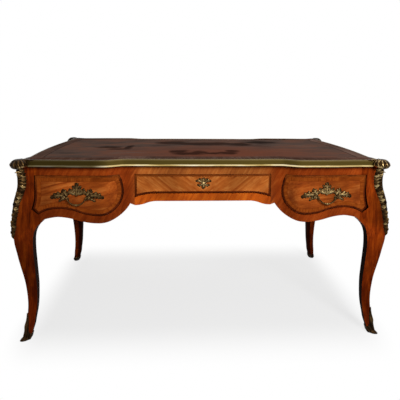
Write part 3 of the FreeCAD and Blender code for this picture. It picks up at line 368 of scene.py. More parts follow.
# Painted shade: the faces of the legs turned in towards the middle of the desk are darkened nearly to black.
tree = leg_veneer.node_tree
shader = tree.nodes["Principled BSDF"]
side = number(tree, "SIGN", axis_of(tree, place_of(tree), "X"))
facing = axis_of(tree, add(tree, "NewGeometry").outputs["Normal"], "X")
inward = remap(tree, number(tree, "MULTIPLY", facing, side), -0.35, -0.8)
polished = shader.inputs["Base Color"].links[0].from_socket
shaded_leg_colour = mixed(tree, inward, polished, "#1a0a04")
feed(tree, shader, {"Base Color": shaded_leg_colour, "Specular IOR Level": 0.004})
dress(leg_veneer, *["leg_" + c for c in SIGNS])
dress(rail_veneer, "front_top_rail", "front_apron_left", "front_apron_right", "drawer_divider_left",
      "drawer_divider_right")
dress(apron_veneer, "front_apron_centre")
dress(back_veneer, "back_frieze")
dress(end_veneer, "end_frieze_left", "end_frieze_right")
top_veneer.node_tree.nodes["Principled BSDF"].inputs["Specular IOR Level"].default_value = 0.0
dress(top_veneer, "top_crossbanding")
print("veneers", [m.name for m in bpy.data.materials if m.name.startswith("kingwood")])

# %% [markdown]
# The mouldings round the drawers are planed from a dark stained wood. The drawer boxes,
# runners and the board under the leather are plain oak, which is paler and duller, with
# long straight pores.

# %% Plain woods
STREAK_LENGTH = 30


def plain_wood(name, tones, turn_deg, streak, rough):
    """Unfigured wood with straight pores along X before the turn, streaks in millimetres."""
    material, tree, shader = finish_of(name)
    turned = mapped(tree, place_of(tree), Rotation=[math.radians(a) for a in turn_deg])
    across = 1 / (streak * MM)
    drawn = mapped(tree, turned, Scale=(across / STREAK_LENGTH, across, across))
    pores = noise(tree, drawn, Detail=6.0, Roughness=0.65)
    colour = ramp(tree, pores, (0.3, tones[0]), (0.55, tones[1]), (0.75, tones[2]))
    feed(tree, shader, {"Base Color": colour, "Normal": bump(tree, pores, 0.15, 0.0005), "Roughness": rough})
    return material


dark_moulding = plain_wood("dark_stained_moulding", ("#2c0d03", "#451606", "#5c240b"), (0, 0, 0), 6, 0.4)
shader = dark_moulding.node_tree.nodes["Principled BSDF"]
shader.inputs["Specular IOR Level"].default_value = 0.03
oak_long = plain_wood("oak_sawn_lengthwise", ("#6d4a2a", "#8a6339", "#a57d4e"), (0, 0, 90), 7, 0.7)
oak_wide = plain_wood("oak_board", ("#6a4728", "#846038", "#9b744a"), (0, 0, 0), 9, 0.7)
bead_finish = plain_wood("bead_with_painted_shade", ("#3f1304", "#561f07", "#6d300d"), (0, 0, 0), 6, 0.4)
tree = bead_finish.node_tree
shader = tree.nodes["Principled BSDF"]
lit_and_rubbed = shader.inputs["Base Color"].links[0].from_socket
# Painted shade: the bead's outer half is dark like the shade in the groove round the drawer, darkest on the
# sides and bottom, and the top run is paler as painted light.
outer = remap(tree, carried(tree, "edge"), 2.0 * MM, 4.0 * MM)
upper = carried(tree, "upper")
painted_groove_shade = mixed(tree, upper, "#1c0802", "#471a06")
lit_and_rubbed = mixed(tree, upper, lit_and_rubbed, "#7a3a10")
feed(tree, shader, {"Base Color": mixed(tree, outer, lit_and_rubbed, painted_groove_shade), "Specular IOR Level": 0.03})
dress(dark_moulding, "panel_mouldings")
dress(oak_long, "partitions", "drawer_runners", "drawer_kickers", "drawer_stops",
      *["drawer_" + d + "_box" for d in DRAWERS])
dress(oak_wide, "top_board", *["drawer_" + d + "_bottom" for d in DRAWERS])
print("plain woods dressed")

# %% [markdown]
# The writing surface is old calf leather: brown, with grey in its tones as a painted sheen
# since it has no shine of its own, redder where hands have rubbed it, and darkened by a few
# ink stains. Each stain is some overlapping ovals whose edges wander. A dark line is tooled
# round the leather. Fine pebble grain bumps its face.

# %% Leather
INK_STAINS = [((-0.47, -0.01), (0.07, 0.04)), ((-0.41, -0.07), (0.06, 0.03)), ((-0.365, -0.01), (0.025, 0.08)),
              ((-0.11, -0.15), (0.05, 0.06)), ((-0.06, -0.21), (0.09, 0.045)), ((-0.01, -0.17), (0.05, 0.055)),
              ((0.06, -0.20), (0.07, 0.03)), ((0.12, -0.19), (0.06, 0.05)), ((0.155, -0.13), (0.04, 0.05)),
              ((-0.14, 0.17), (0.11, 0.08)), ((0.05, 0.13), (0.25, 0.075)), ((0.23, 0.11), (0.07, 0.08)),
              ((0.36, 0.19), (0.12, 0.06))]
HAND_REST, HAND_SPREAD, TOOLED_WIDTH = (0.10, -0.20, 0.78), (0.55, 0.26, 1.0), 5.0 * MM
INK_DEPTH, INK_WANDER, PEBBLE = 0.72, 0.06, 2.5 * MM
leather, tree, shader = finish_of("worn_calf_leather")
spot = place_of(tree)
rubs = noise(tree, mapped(tree, spot, Scale=(3.0, 7.0, 1.0)), Scale=1.3, Detail=5.0, Roughness=0.62)
# The grey in these tones is partly a painted sheen.
colour = ramp(tree, rubs, (0.34, "#443731"), (0.47, "#52423b"), (0.58, "#624438"), (0.70, "#5a4d46"))
rest = vector(tree, "DIVIDE", vector(tree, "SUBTRACT", spot, HAND_REST), HAND_SPREAD)
rest = remap(tree, vector(tree, "LENGTH", rest), 0.3, 1.2, 0.75, 0.0)
colour = mixed(tree, rest, colour, "#653828")
wander = add(tree, "TexNoise", {"Vector": spot, "Scale": 16.0, "Detail": 3.0}).outputs["Color"]
shove = vector(tree, "SUBTRACT", wander, (0.5, 0.5, 0.5))
loose = vector(tree, "ADD", spot, scaled(tree, shove, INK_WANDER))
ink = remap(tree, carried(tree, "edge"), TOOLED_WIDTH, TOOLED_WIDTH / 2, 0.0, 0.8)
for (x, y), (rx, ry) in INK_STAINS:
    near = vector(tree, "SUBTRACT", loose, (x, y, 0))
    near = vector(tree, "MULTIPLY", near, (1 / rx, 1 / ry, 0))
    mark = remap(tree, vector(tree, "LENGTH", near), 0.55, 1.1, INK_DEPTH, 0.0)
    ink = number(tree, "MAXIMUM", ink, mark)
# The pebble is about a millimetre across on the hide, and drawn 2.5 mm across to show.
pebble = add(tree, "TexVoronoi", {"Vector": spot, "Scale": 1 / PEBBLE}).outputs["Distance"]
feed(tree, shader, {"Base Color": mixed(tree, ink, colour, "#120c0a"),
                    "Normal": bump(tree, pebble, 0.12, 0.0006),
                    "Roughness": remap(tree, rubs, low=0.62, high=0.38), "Specular IOR Level": 0.0})
print("leather with", len(INK_STAINS), "stains")

# %% [markdown]
# The top's edge is drawn brass. Its lower round, the torus, is bright polished brass whose
# palest streaks are a painted highlight. The hollow above it and the lip at the top are dark
# olive as a painted reflection, the lip a little paler, and a painted shadow darkens the brass
# below the torus. Height decides which is which.

# %% Brass edge
TORUS_LOW, HOLLOW_LOW, HOLLOW_HIGH = 0.7502, 0.7571, 0.7730
HOLLOW_BLUR, LIP_BLUR, TORUS_BLUR = 1.0 * MM, 3.0 * MM, 0.8 * MM
DULL_END, BRIGHT_FROM = -0.47, -0.38
brass_edge, tree, shader = finish_of("polished_brass_edge")
spot = place_of(tree)
height = axis_of(tree, spot, "Z")
hollow = remap(tree, height, HOLLOW_LOW - HOLLOW_BLUR, HOLLOW_LOW + HOLLOW_BLUR)
lip = remap(tree, height, HOLLOW_HIGH, HOLLOW_HIGH + LIP_BLUR)
smear = noise(tree, mapped(tree, spot, Scale=(9, 9, 60)), Detail=4.0)
# Painted highlight: the torus's palest streaks.
bright = ramp(tree, smear, (0.35, "#b89c5c"), (0.52, "#e4cb8e"), (0.66, "#fff2d0"))
# Painted reflection: the hollow and the lip are dark olive, the lip a little paler.
painted_dark_brass = mixed(tree, lip, "#4a3d19", "#625432")
# Painted shadow: below the torus the brass takes the same dark colour.
under = remap(tree, height, TORUS_LOW + TORUS_BLUR, TORUS_LOW - TORUS_BLUR)
dark_reflection_and_shadow = number(tree, "MAXIMUM", hollow, under)
metal = mixed(tree, dark_reflection_and_shadow, bright, painted_dark_brass)
# Painted shade: the left end of the edge is darker than the rest, most of all its torus, standing in for a
# darker reflection there.
least = remap(tree, dark_reflection_and_shadow, low=0.15, high=0.5)
level = remap(tree, axis_of(tree, spot, "X"), DULL_END, BRIGHT_FROM, least, interpolation_type="SMOOTHSTEP")
feed(tree, shader, {"Base Color": scaled(tree, metal, level), "Metallic": 1.0,
                    "Roughness": remap(tree, dark_reflection_and_shadow, low=0.24, high=0.5)})
dress(brass_edge, *["edge_moulding_" + s for s in ("front", "back", "left", "right")])
print("brass edge dressed")

# %% [markdown]
# The mounts are cast in bronze, chased and gilded. Two centuries of polishing leave the
# high leaves bright and the hollows dark. Each mount's mesh carries a number for this wear,
# 0 in the hollows and 1 on the crests, and the finish reads it. On the handles, chutes and
# clasps it is raised on the right and lowered on the left and at the back: painted light,
# as the light falls from the front and right.

# %% Gilt bronze and lock steel
gilt_bronze, tree, shader = finish_of("gilt_bronze_casting")
patch = noise(tree, place_of(tree), Scale=70.0, Detail=3.0)
patch = number(tree, "SUBTRACT", patch, 0.5)
worn_and_lit = number(tree, "MULTIPLY_ADD", patch, 0.7, carried(tree, "wear_and_light"))
gold = ramp(tree, worn_and_lit, (0.05, "#140c06"), (0.45, "#332312"), (0.74, "#5e4728"), (0.98, "#a89264"))
feed(tree, shader, {"Base Color": gold, "Roughness": remap(tree, worn_and_lit, low=0.6, high=0.28), "Metallic": 1.0})

lock_steel, tree, shader = finish_of("old_filed_steel")
filed = noise(tree, mapped(tree, place_of(tree), Scale=(900, 900, 40)), Detail=2.0)
steel = ramp(tree, filed, (0.3, "#6c6862"), (0.7, "#9a968e"))
feed(tree, shader, {"Base Color": steel, "Metallic": 1.0, "Roughness": 0.42})
dress(lock_steel, "lock_case", "lock_bolt")
print("metals ready")

# %% [markdown]
# Every mount is built from cast leaves. A leaf starts as a flat grid. Its long side follows
# a bent midrib, its edges swell into lobes, and its face rises into a rib and veins. Then
# the sheet is extruded down so that it is a closed casting. The whole mount is first drawn
# flat, like a carver's pattern, and only then wrapped on the wood that carries it.

# %% The leaf pattern
SINK = 1.2


def smooth(a, b, t):
    """Soft step from 0 at a to 1 at b."""
    t = min(max((t - a) / (b - a), 0.0), 1.0)
    return t * t * (3 - 2 * t)


def leaf(bm, root, bend, point, width, rise, lobes, along=30, across=8, curl=0.0, shine=1.0):
    """A cast leaf from root to point in a flat pattern, all in millimetres."""
    root, bend, point = Vector(root), Vector(bend), Vector(point)
    wear_and_light = bm.verts.layers.float.get("wear_and_light")
    sheet = bmesh.ops.create_grid(bm, x_segments=along, y_segments=across, size=1.0)["verts"]
    for v in sheet:
        t, s = (v.co.x + 1) / 2, v.co.y
        spine = root * (1 - t) ** 2 + bend * (2 * t * (1 - t)) + point * t * t
        way = ((bend - root) * (1 - t) + (point - bend) * t).normalized()
        # It is widest two fifths of the way up, its edge is cut in lobes, and the lobes lean forward.
        swell = math.sqrt(max(1 - ((t - 0.42) / 0.62) ** 2, 0.0)) * (1 - t) ** 0.22
        scallop = 1 - 0.34 * (0.5 + 0.5 * math.cos(2 * math.pi * lobes * t)) ** 1.5
        reach = s * width * max(swell * scallop, 0.05)
        lean = abs(reach) * 0.45
        v.co.xy = spine + Vector((-way.y, way.x)) * reach + way * lean
        # A dome, a midrib and a vein in each lobe make the relief, and the high places wear bright.
        dome = math.sqrt(max(1 - s * s, 0.0)) * (0.30 + 0.70 * math.sin(math.pi * min(t + 0.12, 1.0)) ** 0.6)
        rib = 0.30 * math.exp(-(s / 0.14) ** 2) * (1 - t)
        vein = 0.22 * math.cos(2 * math.pi * (lobes * t - 0.5)) * smooth(0.1, 0.8, abs(s))
        v.co.z = rise * (0.62 * dome + rib + vein * dome) + curl * smooth(0.6, 1.0, t)
        v[wear_and_light] = min(max(shine * (0.55 * dome + rib * 1.6 + 1.3 * vein + 0.12), 0.0), 1.0)
    faces = list({f for v in sheet for f in v.link_faces})
    bmesh.ops.extrude_face_region(bm, geom=faces)
    for v in sheet:
        v.co.z = -SINK
        v[wear_and_light] = 0.0


def boss(bm, centre, radius, rise, petals):
    """A round flower with petals, in the flat pattern."""
    wear_and_light = bm.verts.layers.float.get("wear_and_light")
    ball = bmesh.ops.create_uvsphere(bm, u_segments=40, v_segments=16, radius=1.0)["verts"]
    for v in ball:
        around = math.atan2(v.co.y, v.co.x)
        flat = math.hypot(v.co.x, v.co.y)
        ripple = 1 + 0.16 * math.cos(petals * around) * smooth(0.35, 0.9, flat)
        button = 0.18 * smooth(0.42, 0.25, flat)
        lift = max(v.co.z, 0.0) * (1 + button) - 0.12 * smooth(0.3, 0.5, flat) * smooth(0.75, 0.5, flat)
        v[wear_and_light] = min(max(0.35 + 0.5 * v.co.z + 0.35 * (ripple - 1) / 0.16 * flat, 0.0), 1.0)
        v.co = Vector((centre[0] + v.co.x * radius * ripple, centre[1] + v.co.y * radius * ripple,
                       lift * rise if v.co.z > 0 else v.co.z * SINK))


def start_mount():
    """Empty mesh whose points carry wear."""
    bm = bmesh.new()
    bm.verts.layers.float.new("wear_and_light")
    return bm


def make_piece(bm, name, finish, body, node):
    """Turn a finished mesh into a piece of the desk that stands for a CAD node."""
    mesh = bpy.data.meshes.new(name)
    bm.to_mesh(mesh)
    bm.free()
    mesh.materials.append(finish)
    piece = bpy.data.objects.new(name, mesh)
    bpy.context.scene.collection.objects.link(piece)
    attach(piece, body)
    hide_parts(node)
    print(piece.name, len(mesh.polygons))
    return piece


def as_drawn(x, y, z):
    """Place of a point that is already where it belongs."""
    return Vector((x, y, z))


def end_mount(bm, name, body, node, place=as_drawn):
    """Wrap a flat pattern on its carrier and make it a bronze piece."""
    for v in bm.verts:
        v.co = place(*v.co)
    bmesh.ops.recalc_face_normals(bm, faces=bm.faces)
    for face in bm.faces:
        face.smooth = True
    make_piece(bm, name, gilt_bronze, body, node)


def surface(*names):
    """Ray targets for some CAD nodes."""
    targets = []
    for name in names:
        bm = bmesh.new()
        bm.from_mesh(nodes[name].data)
        targets.append(BVHTree.FromBMesh(bm))
        bm.free()
    return targets


def first_hit(targets, start, way):
    """Nearest point where a ray meets any of the targets."""
    hits = [t.ray_cast(start, way) for t in targets]
    hits = [(h[3], h[0]) for h in hits if h[0] is not None]
    return min(hits, key=lambda h: h[0])[1] if hits else None


print("leaf, boss and wrapping helpers ready")

# %% [markdown]
# The drawer fronts have a border of crossbanding just inside the dark moulding, and the
# leather has its tooled line. A copy of each is cut into small faces, and every corner of
# the copy learns two numbers: how far it lies from the piece round it, and how far along
# that piece its nearest point is. The recipes above read them.

# %% Drawer fronts and leather
ALONG, DEEP, UP = Vector((1, 0, 0)), Vector((0, 1, 0)), Vector((0, 0, 1))
WELD_GAP, CUT_GAP = 0.001 * MM, 0.0001 * MM
FRONT_CUT, LEATHER_CUT, SHARP = 9.0 * MM, 12.0 * MM, math.radians(25)


def measured_copy(new_name, name, round_it, body, finish, ways, cut):
    """Copy of a CAD node that knows its distance from the piece round it."""
    ring = surface(round_it)[0]
    low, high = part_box(name)
    middle = (low + high) / 2
    bm = bmesh.new()
    bm.from_mesh(nodes[name].data)
    bmesh.ops.remove_doubles(bm, verts=bm.verts, dist=WELD_GAP)
    for way in ways:
        start, end = low.dot(way), high.dot(way)
        for k in range(1, int((end - start) / cut)):
            bmesh.ops.bisect_plane(bm, geom=bm.verts[:] + bm.edges[:] + bm.faces[:], dist=CUT_GAP,
                                   plane_co=way * (start + k * cut), plane_no=way)
    edge = bm.verts.layers.float.new("edge")
    along = bm.verts.layers.float.new("along")
    for v in bm.verts:
        near, _, _, gap = ring.find_nearest(v.co)
        turn = math.atan2(near.z - middle.z, near.x - middle.x)
        v[edge] = gap
        v[along] = turn * (near - middle).length
    for face in bm.faces:
        face.smooth = True
    piece = make_piece(bm, new_name, finish, body, name)
    piece.data.set_sharp_from_angle(angle=SHARP)


for side, finish in zip(DRAWERS, (field_veneer, field_veneer, chevron_veneer)):
    drawer = "drawer_" + side
    measured_copy("banded_front_" + side, drawer + "_front", drawer + "_moulding", drawer,
                  finish, (ALONG, UP), FRONT_CUT)
measured_copy("tooled_leather", "leather_inset", "top_crossbanding", "carcass", leather,
              (ALONG, DEEP), LEATHER_CUT)

# %% [markdown]
# The drawer mouldings come square from the CAD model. A copy gets rounded edges like a planed
# bead. It also learns how far each point lies from the drawer's field, because its outer half
# is painted dark as the shade in the groove round the drawer, and its inner half keeps the
# wood's colour. The run along the top is paler than the rest: painted light and shade, as the
# top catches light and the sides and bottom lie in shade.

# %% Mouldings
BEAD_WIDTH, BEAD_WELD, TOP_RUN = 2.2 * MM, 0.01 * MM, (20.0 * MM, 10.0 * MM)


def rounded(thing):
    """Soft edges like a planed bead."""
    weld = thing.modifiers.new("weld", "WELD")
    weld.merge_threshold = BEAD_WELD
    bead = thing.modifiers.new("bead", "BEVEL")
    bead.width = BEAD_WIDTH
    bead.segments = 3
    bead.angle_limit = math.radians(50)


for side in DRAWERS:
    name = "drawer_" + side + "_moulding"
    field = surface("drawer_" + side + "_front")[0]
    bm = bmesh.new()
    bm.from_mesh(nodes[name].data)
    bmesh.ops.remove_doubles(bm, verts=bm.verts, dist=WELD_GAP)
    edge = bm.verts.layers.float.new("edge")
    upper = bm.verts.layers.float.new("upper")
    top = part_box(name)[1].z
    for v in bm.verts:
        v[edge] = field.find_nearest(v.co)[3]
        v[upper] = smooth(top - TOP_RUN[0], top - TOP_RUN[1], v.co.z)
    rounded(make_piece(bm, "planed_bead_" + side, bead_finish, "drawer_" + side, name))
rounded(nodes["panel_mouldings"])

# %% [markdown]
# Each drawer handle is a foliate mount: a crest of leaves in the middle, a flower at each
# pivot, and long leaves that trail to both sides. One list holds the leaves of the right
# half, and each is drawn for both sides. A ray from the front finds the bowed drawer face
# behind each point. The right handle's crests are brighter than the left one's: painted
# light, as the light falls from the right.

# %% Handle mounts
HANDLE_X, HANDLE_Z, PIVOT_HALF = 0.535, 0.619, 52.5
# A ray down a stud hole or the keyhole meets nothing, so it steps aside by more than the hole.
STUD_STEP = 7.0 * MM
# Root, bend and point of a leaf, then its width, rise, lobes and steps along.
HANDLE_LEAVES = [((4, 10), (12, 30), (16, 52), 11, 7.0, 3, 30), ((6, 12), (24, 22), (32, 38), 12, 6.5, 3, 30),
                 ((10, 15), (28, 26), (52, 14), 12, 7.0, 3, 30), ((40, 4), (50, 22), (64, 32), 16, 7.0, 3, 30),
                 ((50, 4), (82, 16), (113, -6), 18, 7.0, 4, 36), ((52, -2), (66, -8), (78, -20), 9, 5.5, 2, 30),
                 ((46, 0), (34, -6), (40, -16), 7, 5.0, 2, 30)]


def leaf_pairs(bm, leaves, side, **more):
    """Leaves of a list on the right half of a pattern (side 1) or the left half (side -1)."""
    for root, bend, point, *shape in leaves:
        leaf(bm, *[(side * x, y) for x, y in (root, bend, point)], *shape, **more)


def handle_pattern(bm):
    """Crest, leaves and flowers of one handle, in the flat."""
    leaf(bm, (0, 8), (0, 34), (0, 63), 19, 8.0, 4, curl=2.0)
    for side in (-1, 1):
        leaf_pairs(bm, HANDLE_LEAVES, side)
        boss(bm, (side * PIVOT_HALF, 0), 9.5, 19, 8)
    boss(bm, (0, 12), 7.0, 11, 6)


def on_front(centre_x, centre_z, targets, facing):
    """Place of a pattern point on a bowed face, seen from the front or the back."""
    def place(p, q, h):
        x, z = centre_x - facing * p * MM, centre_z + q * MM
        for aside in (0.0, STUD_STEP, -STUD_STEP):
            hit = first_hit(targets, Vector((x + aside, facing * 1.0, z)), Vector((0, -facing, 0)))
            if hit is not None:
                break
        return Vector((x, hit.y + facing * h * MM, z))
    return place


# Painted light: the right handle's wear is raised and the left one's lowered.
for side, sign, lit_and_rubbed in (("left", -1, 0.9), ("right", 1, 1.06)):
    bm = start_mount()
    handle_pattern(bm)
    wear_and_light = bm.verts.layers.float["wear_and_light"]
    for v in bm.verts:
        v[wear_and_light] *= lit_and_rubbed
    wrap = on_front(sign * HANDLE_X, HANDLE_Z, surface("drawer_" + side + "_front"), -1)
    end_mount(bm, "foliate_handle_" + side, "drawer_" + side, "handle_mount_" + side, wrap)
bm = start_mount()
handle_pattern(bm)
wrap = on_front(-HANDLE_X, HANDLE_Z, surface("back_frieze"), 1)
for v in bm.verts:
    v.co = wrap(*v.co)
twin = bmesh.ops.duplicate(bm, geom=bm.verts[:] + bm.edges[:] + bm.faces[:])["geom"]
for v in twin:
    if isinstance(v, bmesh.types.BMVert):
        v.co.x = -v.co.x
end_mount(bm, "foliate_handles_back", "carcass", "back_handle_mounts")

# %% [markdown]
# A bail is a bronze bar that hangs from two pins. A circle spun through part of a turn
# gives the bar. Its rings then shrink or swell, so that it tapers to its ends and carries
# a small knop in the middle and beads beside it.

# %% Bails
BAIL_HALF, BAIL_DROP, BAR_RADIUS, PIN_REACH = 40.0, 30.0, 3.3, 11.0
ARC_RADIUS = (BAIL_HALF ** 2 + BAIL_DROP ** 2) / (2 * BAIL_DROP)
ARC_HALF = math.asin(BAIL_HALF / ARC_RADIUS)


def bail(name, body, centre):
    """One bail, which hangs at rest from the axis of its joint."""
    bm = start_mount()
    wear_and_light = bm.verts.layers.float.get("wear_and_light")
    rise = ARC_RADIUS - BAIL_DROP
    lowest = Matrix.Translation((0, 0, -ARC_RADIUS)) @ Matrix.Rotation(math.pi / 2, 4, "Y")
    ring = bmesh.ops.create_circle(bm, segments=16, radius=BAR_RADIUS, cap_ends=True, matrix=lowest)
    bmesh.ops.rotate(bm, verts=ring["verts"], cent=(0, 0, 0), matrix=Matrix.Rotation(ARC_HALF, 3, "Y"))
    bmesh.ops.spin(bm, geom=bm.verts[:] + bm.edges[:] + bm.faces[:], cent=(0, 0, 0), axis=(0, -1, 0),
                   angle=2 * ARC_HALF, steps=56, use_duplicate=False)
    for v in bm.verts:
        turn = math.atan2(v.co.x, -v.co.z)
        core = Vector((math.sin(turn), 0, -math.cos(turn))) * ARC_RADIUS
        share = abs(turn) / ARC_HALF
        size = 1.0 - 0.28 * share + 0.45 * math.exp(-(share / 0.07) ** 2)
        size += 0.28 * math.exp(-((share - 0.16) / 0.03) ** 2) + 0.25 * math.exp(-((share - 0.8) / 0.04) ** 2)
        v.co = core + (v.co - core) * size
        v[wear_and_light] = min(0.5 + 0.5 * (size - 0.72), 1.0)
    bmesh.ops.translate(bm, verts=bm.verts, vec=(0, 0, rise))
    for side in (-1, 1):
        ball = bmesh.ops.create_uvsphere(bm, u_segments=20, v_segments=12, radius=5.2)["verts"]
        bmesh.ops.translate(bm, verts=ball, vec=(side * BAIL_HALF, 0, 0))
        pin = bmesh.ops.create_cone(bm, cap_ends=True, segments=16, radius1=2.5, radius2=2.5, depth=PIN_REACH,
                                    matrix=Matrix.Rotation(math.pi / 2, 4, "Y"))["verts"]
        bmesh.ops.translate(bm, verts=pin, vec=(side * (BAIL_HALF + PIN_REACH / 2), 0, 0))
        for v in ball + pin:
            v[wear_and_light] = 0.6
    end_mount(bm, name, body, body, lambda x, y, z: centre + Vector((x, y, z)) * MM)


for joint in frame["joints"]:
    if "bail" in joint["name"]:
        bail("drop_" + joint["child"], joint["child"], Vector(joint["pos_m"]))

# %% [markdown]
# The keyhole of the middle drawer lies behind a small cartouche: leaves that curl round a
# flower. It is drawn in the flat and wrapped on the drawer front, as the handles are.

# %% Escutcheon
KEYHOLE_Z, CARTOUCHE_SHINE = 0.672, 0.95
CARTOUCHE_LEAVES = [((4, 4), (20, 16), (35, 8), 9, 5.0, 3), ((4, -4), (16, -12), (28, -6), 8, 4.5, 3)]
bm = start_mount()
leaf(bm, (0, 6), (0, 16), (0, 25), 12, 5.0, 3, shine=CARTOUCHE_SHINE)
leaf(bm, (0, -6), (0, -16), (0, -24), 11, 4.5, 3, shine=CARTOUCHE_SHINE)
for side in (-1, 1):
    leaf_pairs(bm, CARTOUCHE_LEAVES, side, shine=CARTOUCHE_SHINE)
    leaf(bm, (side * 2, 8), (side * 14, 20), (side * 20, 20), 6, 4.5, 2, shine=0.9)
boss(bm, (0, 0), 9.5, 5.5, 12)
middle_face = on_front(0.0, KEYHOLE_Z, surface("drawer_centre_front"), -1)
end_mount(bm, "keyhole_cartouche", "drawer_centre", "escutcheon", middle_face)

# %% [markdown]
# A chute is the long bronze that rides the sharp corner of a leg. A flower sits at its top,
# and rows of paired acanthus leaves overlap down a long rib and over the knee. Rays along
# the diagonal wrap the flat pattern round the corner.

# %% Chutes
DIAGONAL_START = 0.25
# Height and half width of the chute, in millimetres.
CHUTE_HALF = [(742, 6), (725, 7), (700, 8), (668, 7.5), (640, 6), (615, 4.5), (595, 3), (540, 2.5),
              (500, 2), (468, 1)]
CHUTE_TOP, CHUTE_ROWS, ROW_STEP = 734, 19, 14.5
NARROWER = (1.0, 0.95, 0.9, 0.85, 0.8, 0.75, 0.7, 0.6, 0.5, 0.0)


def value_at(table, q):
    """Value at q in a falling table of places and values."""
    for (q0, w0), (q1, w1) in zip(table, table[1:]):
        if q >= q1:
            return w0 + (w1 - w0) * (q0 - q) / (q0 - q1)
    return table[-1][1]


def chute_pattern(bm, lit_and_rubbed):
    """Rib, leaves and flower of one chute, in the flat."""
    leaf(bm, (0, 742), (0, 600), (0, 464), 3.0, 13.0, 22, along=150, across=6, shine=0.5)
    for row in range(CHUTE_ROWS):
        q = CHUTE_TOP - ROW_STEP * row
        half = value_at(CHUTE_HALF, q)
        jut = 11.5 + 2.0 * math.sin(2.3 * row)
        for side in (-1, 1):
            # A scrambled sine gives each leaf its own share of rubbing.
            shine = lit_and_rubbed * (0.25 + 0.95 * (abs(math.sin(12.9 * row + 7.8 * side)) * 43.7 % 1.0))
            wide = side * half
            leaf(bm, (0, q + 12), (wide * 1.1, q + 8), (wide * 0.8, q - 12), 2.6 + 0.22 * half, jut - 3, 3,
                 along=20, across=6, shine=shine)
            leaf(bm, (side, q + 4), (wide * 0.2, q - 6), (wide * 0.5, q - 18), 2.0 + 0.12 * half, jut, 2,
                 along=16, across=6, shine=1.1 * lit_and_rubbed - shine)
    boss(bm, (0, 730), 5, 15, 7)


def on_arris(sx, sy, targets):
    """Place of a pattern point on the corner of a leg: across the corner, height, relief."""
    out = Vector((sx, sy, 0)).normalized()
    side = Vector((-sy, sx, 0)).normalized() * (sx * sy)
    tip = Vector((sx * cad_high.x, sy * cad_high.y, 0))

    def place(p, q, h):
        for narrower in NARROWER:
            start = tip + out * DIAGONAL_START + side * p * narrower * MM + Vector((0, 0, q * MM))
            hit = first_hit(targets, start, -out)
            if hit is not None:
                break
        return hit + out * h * MM
    return place


for corner, (sx, sy) in SIGNS.items():
    bm = start_mount()
    # The right chutes get brighter crests than the left ones: painted light from the right.
    chute_pattern(bm, 1.25 + 0.15 * sx)
    wrap = on_arris(sx, sy, surface("leg_" + corner))
    end_mount(bm, "acanthus_chute_" + corner, "carcass", "chute_" + corner, wrap)

# %% [markdown]
# A sabot is a bronze shoe that keeps a foot from wear. It wraps the toe and sends a leaf
# up the corner of the leg. A plain tube is pressed on the foot by rays from all round, and
# then its face is given a rolled rim, a ribbed leaf with a scroll, a round toe and a heel.

# %% Sabots
SHOE_STEPS, SHOE_AROUND, HEEL_LIFT = 26, 72, 2.5
FOOT_X, FOOT_Y = 785, 400


def sabot(corner, sx, sy):
    """One shoe, with the angle around measured from the corner of the desk."""
    bm = start_mount()
    wear_and_light = bm.verts.layers.float.get("wear_and_light")
    targets = surface("leg_" + corner)
    bmesh.ops.create_cone(bm, cap_ends=True, segments=SHOE_AROUND, radius1=1, radius2=1, depth=1)
    upright = [e for e in bm.edges if abs(e.verts[0].co.z - e.verts[1].co.z) > 0.5]
    bmesh.ops.subdivide_edges(bm, edges=upright, cuts=SHOE_STEPS)
    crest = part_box("sabot_" + corner)[1].z / MM
    for v in bm.verts:
        around = math.atan2(v.co.y, v.co.x)
        t = v.co.z + 0.5
        # The rim is low at the heel and climbs to the crest along the corner.
        front = 0.5 + 0.5 * math.cos(around)
        scallop = 3.0 * math.cos(5 * around) * smooth(0.3, 0.9, front)
        rim = 28 + (crest - 31) * front ** 8 + scallop
        z = t * rim
        inset = 24 + 0.36 * min(z, 25) + 0.2 * max(z - 25, 0)
        heading = math.atan2(sy, sx) + around
        out = Vector((math.cos(heading), math.sin(heading), 0))
        axis = Vector((sx * (FOOT_X - inset), sy * (FOOT_Y - inset), max(z, 3.5))) * MM
        hit = first_hit(targets, axis + out * 0.1, -out)
        # What stands out from the wood, in millimetres.
        rib = math.exp(-(around / 0.12) ** 2) * 1.2
        vein = 0.7 * math.cos(9 * around + 5 * t) * smooth(0.12, 0.4, abs(around)) * smooth(0.10, 0.3, t)
        roll = 0.9 * math.exp(-((t - 0.95) / 0.05) ** 2)
        toe = 9.5 * math.exp(-((z - 4.5) / 6) ** 2) * front ** 2
        heel = (2.0 + 4.5 * math.exp(-(z / 14) ** 2)) * (1 - front)
        scroll = 3.5 * math.exp(-((z - 60) / 14) ** 2) * front ** 6
        skin = 0.8 + 1.8 * front ** 2 + toe + heel + scroll + (rib + vein) * smooth(8, 20, z) * front + roll
        v[wear_and_light] = min(max(0.16 + 0.3 * (rib + vein) + 0.2 * roll + 0.08 * scroll, 0.0), 1.0)
        hit = hit + out * skin * MM
        v.co = Vector((hit.x, hit.y, (z + HEEL_LIFT * (1 - front) ** 2 * (1 - t)) * MM))
    end_mount(bm, "leaf_sabot_" + corner, "carcass", "sabot_" + corner)


for corner, (sx, sy) in SIGNS.items():
    sabot(corner, sx, sy)

# %% [markdown]
# Cast clasps cover the joints of the brass edge at the corners of the top. Each is a round
# shell with ribs that spread from the corner. A flat grid is bent round the lobe along the
# clasp's profile. Leaves trail from it over the brass on both sides and over the top.

# %% Corner clasps
LOBE_X, LOBE_Y, TOP_Z, BRASS_INSET = 764.0, 379.0, 780.0, 12.0
CLASP_HALF_TURN = math.radians(165)
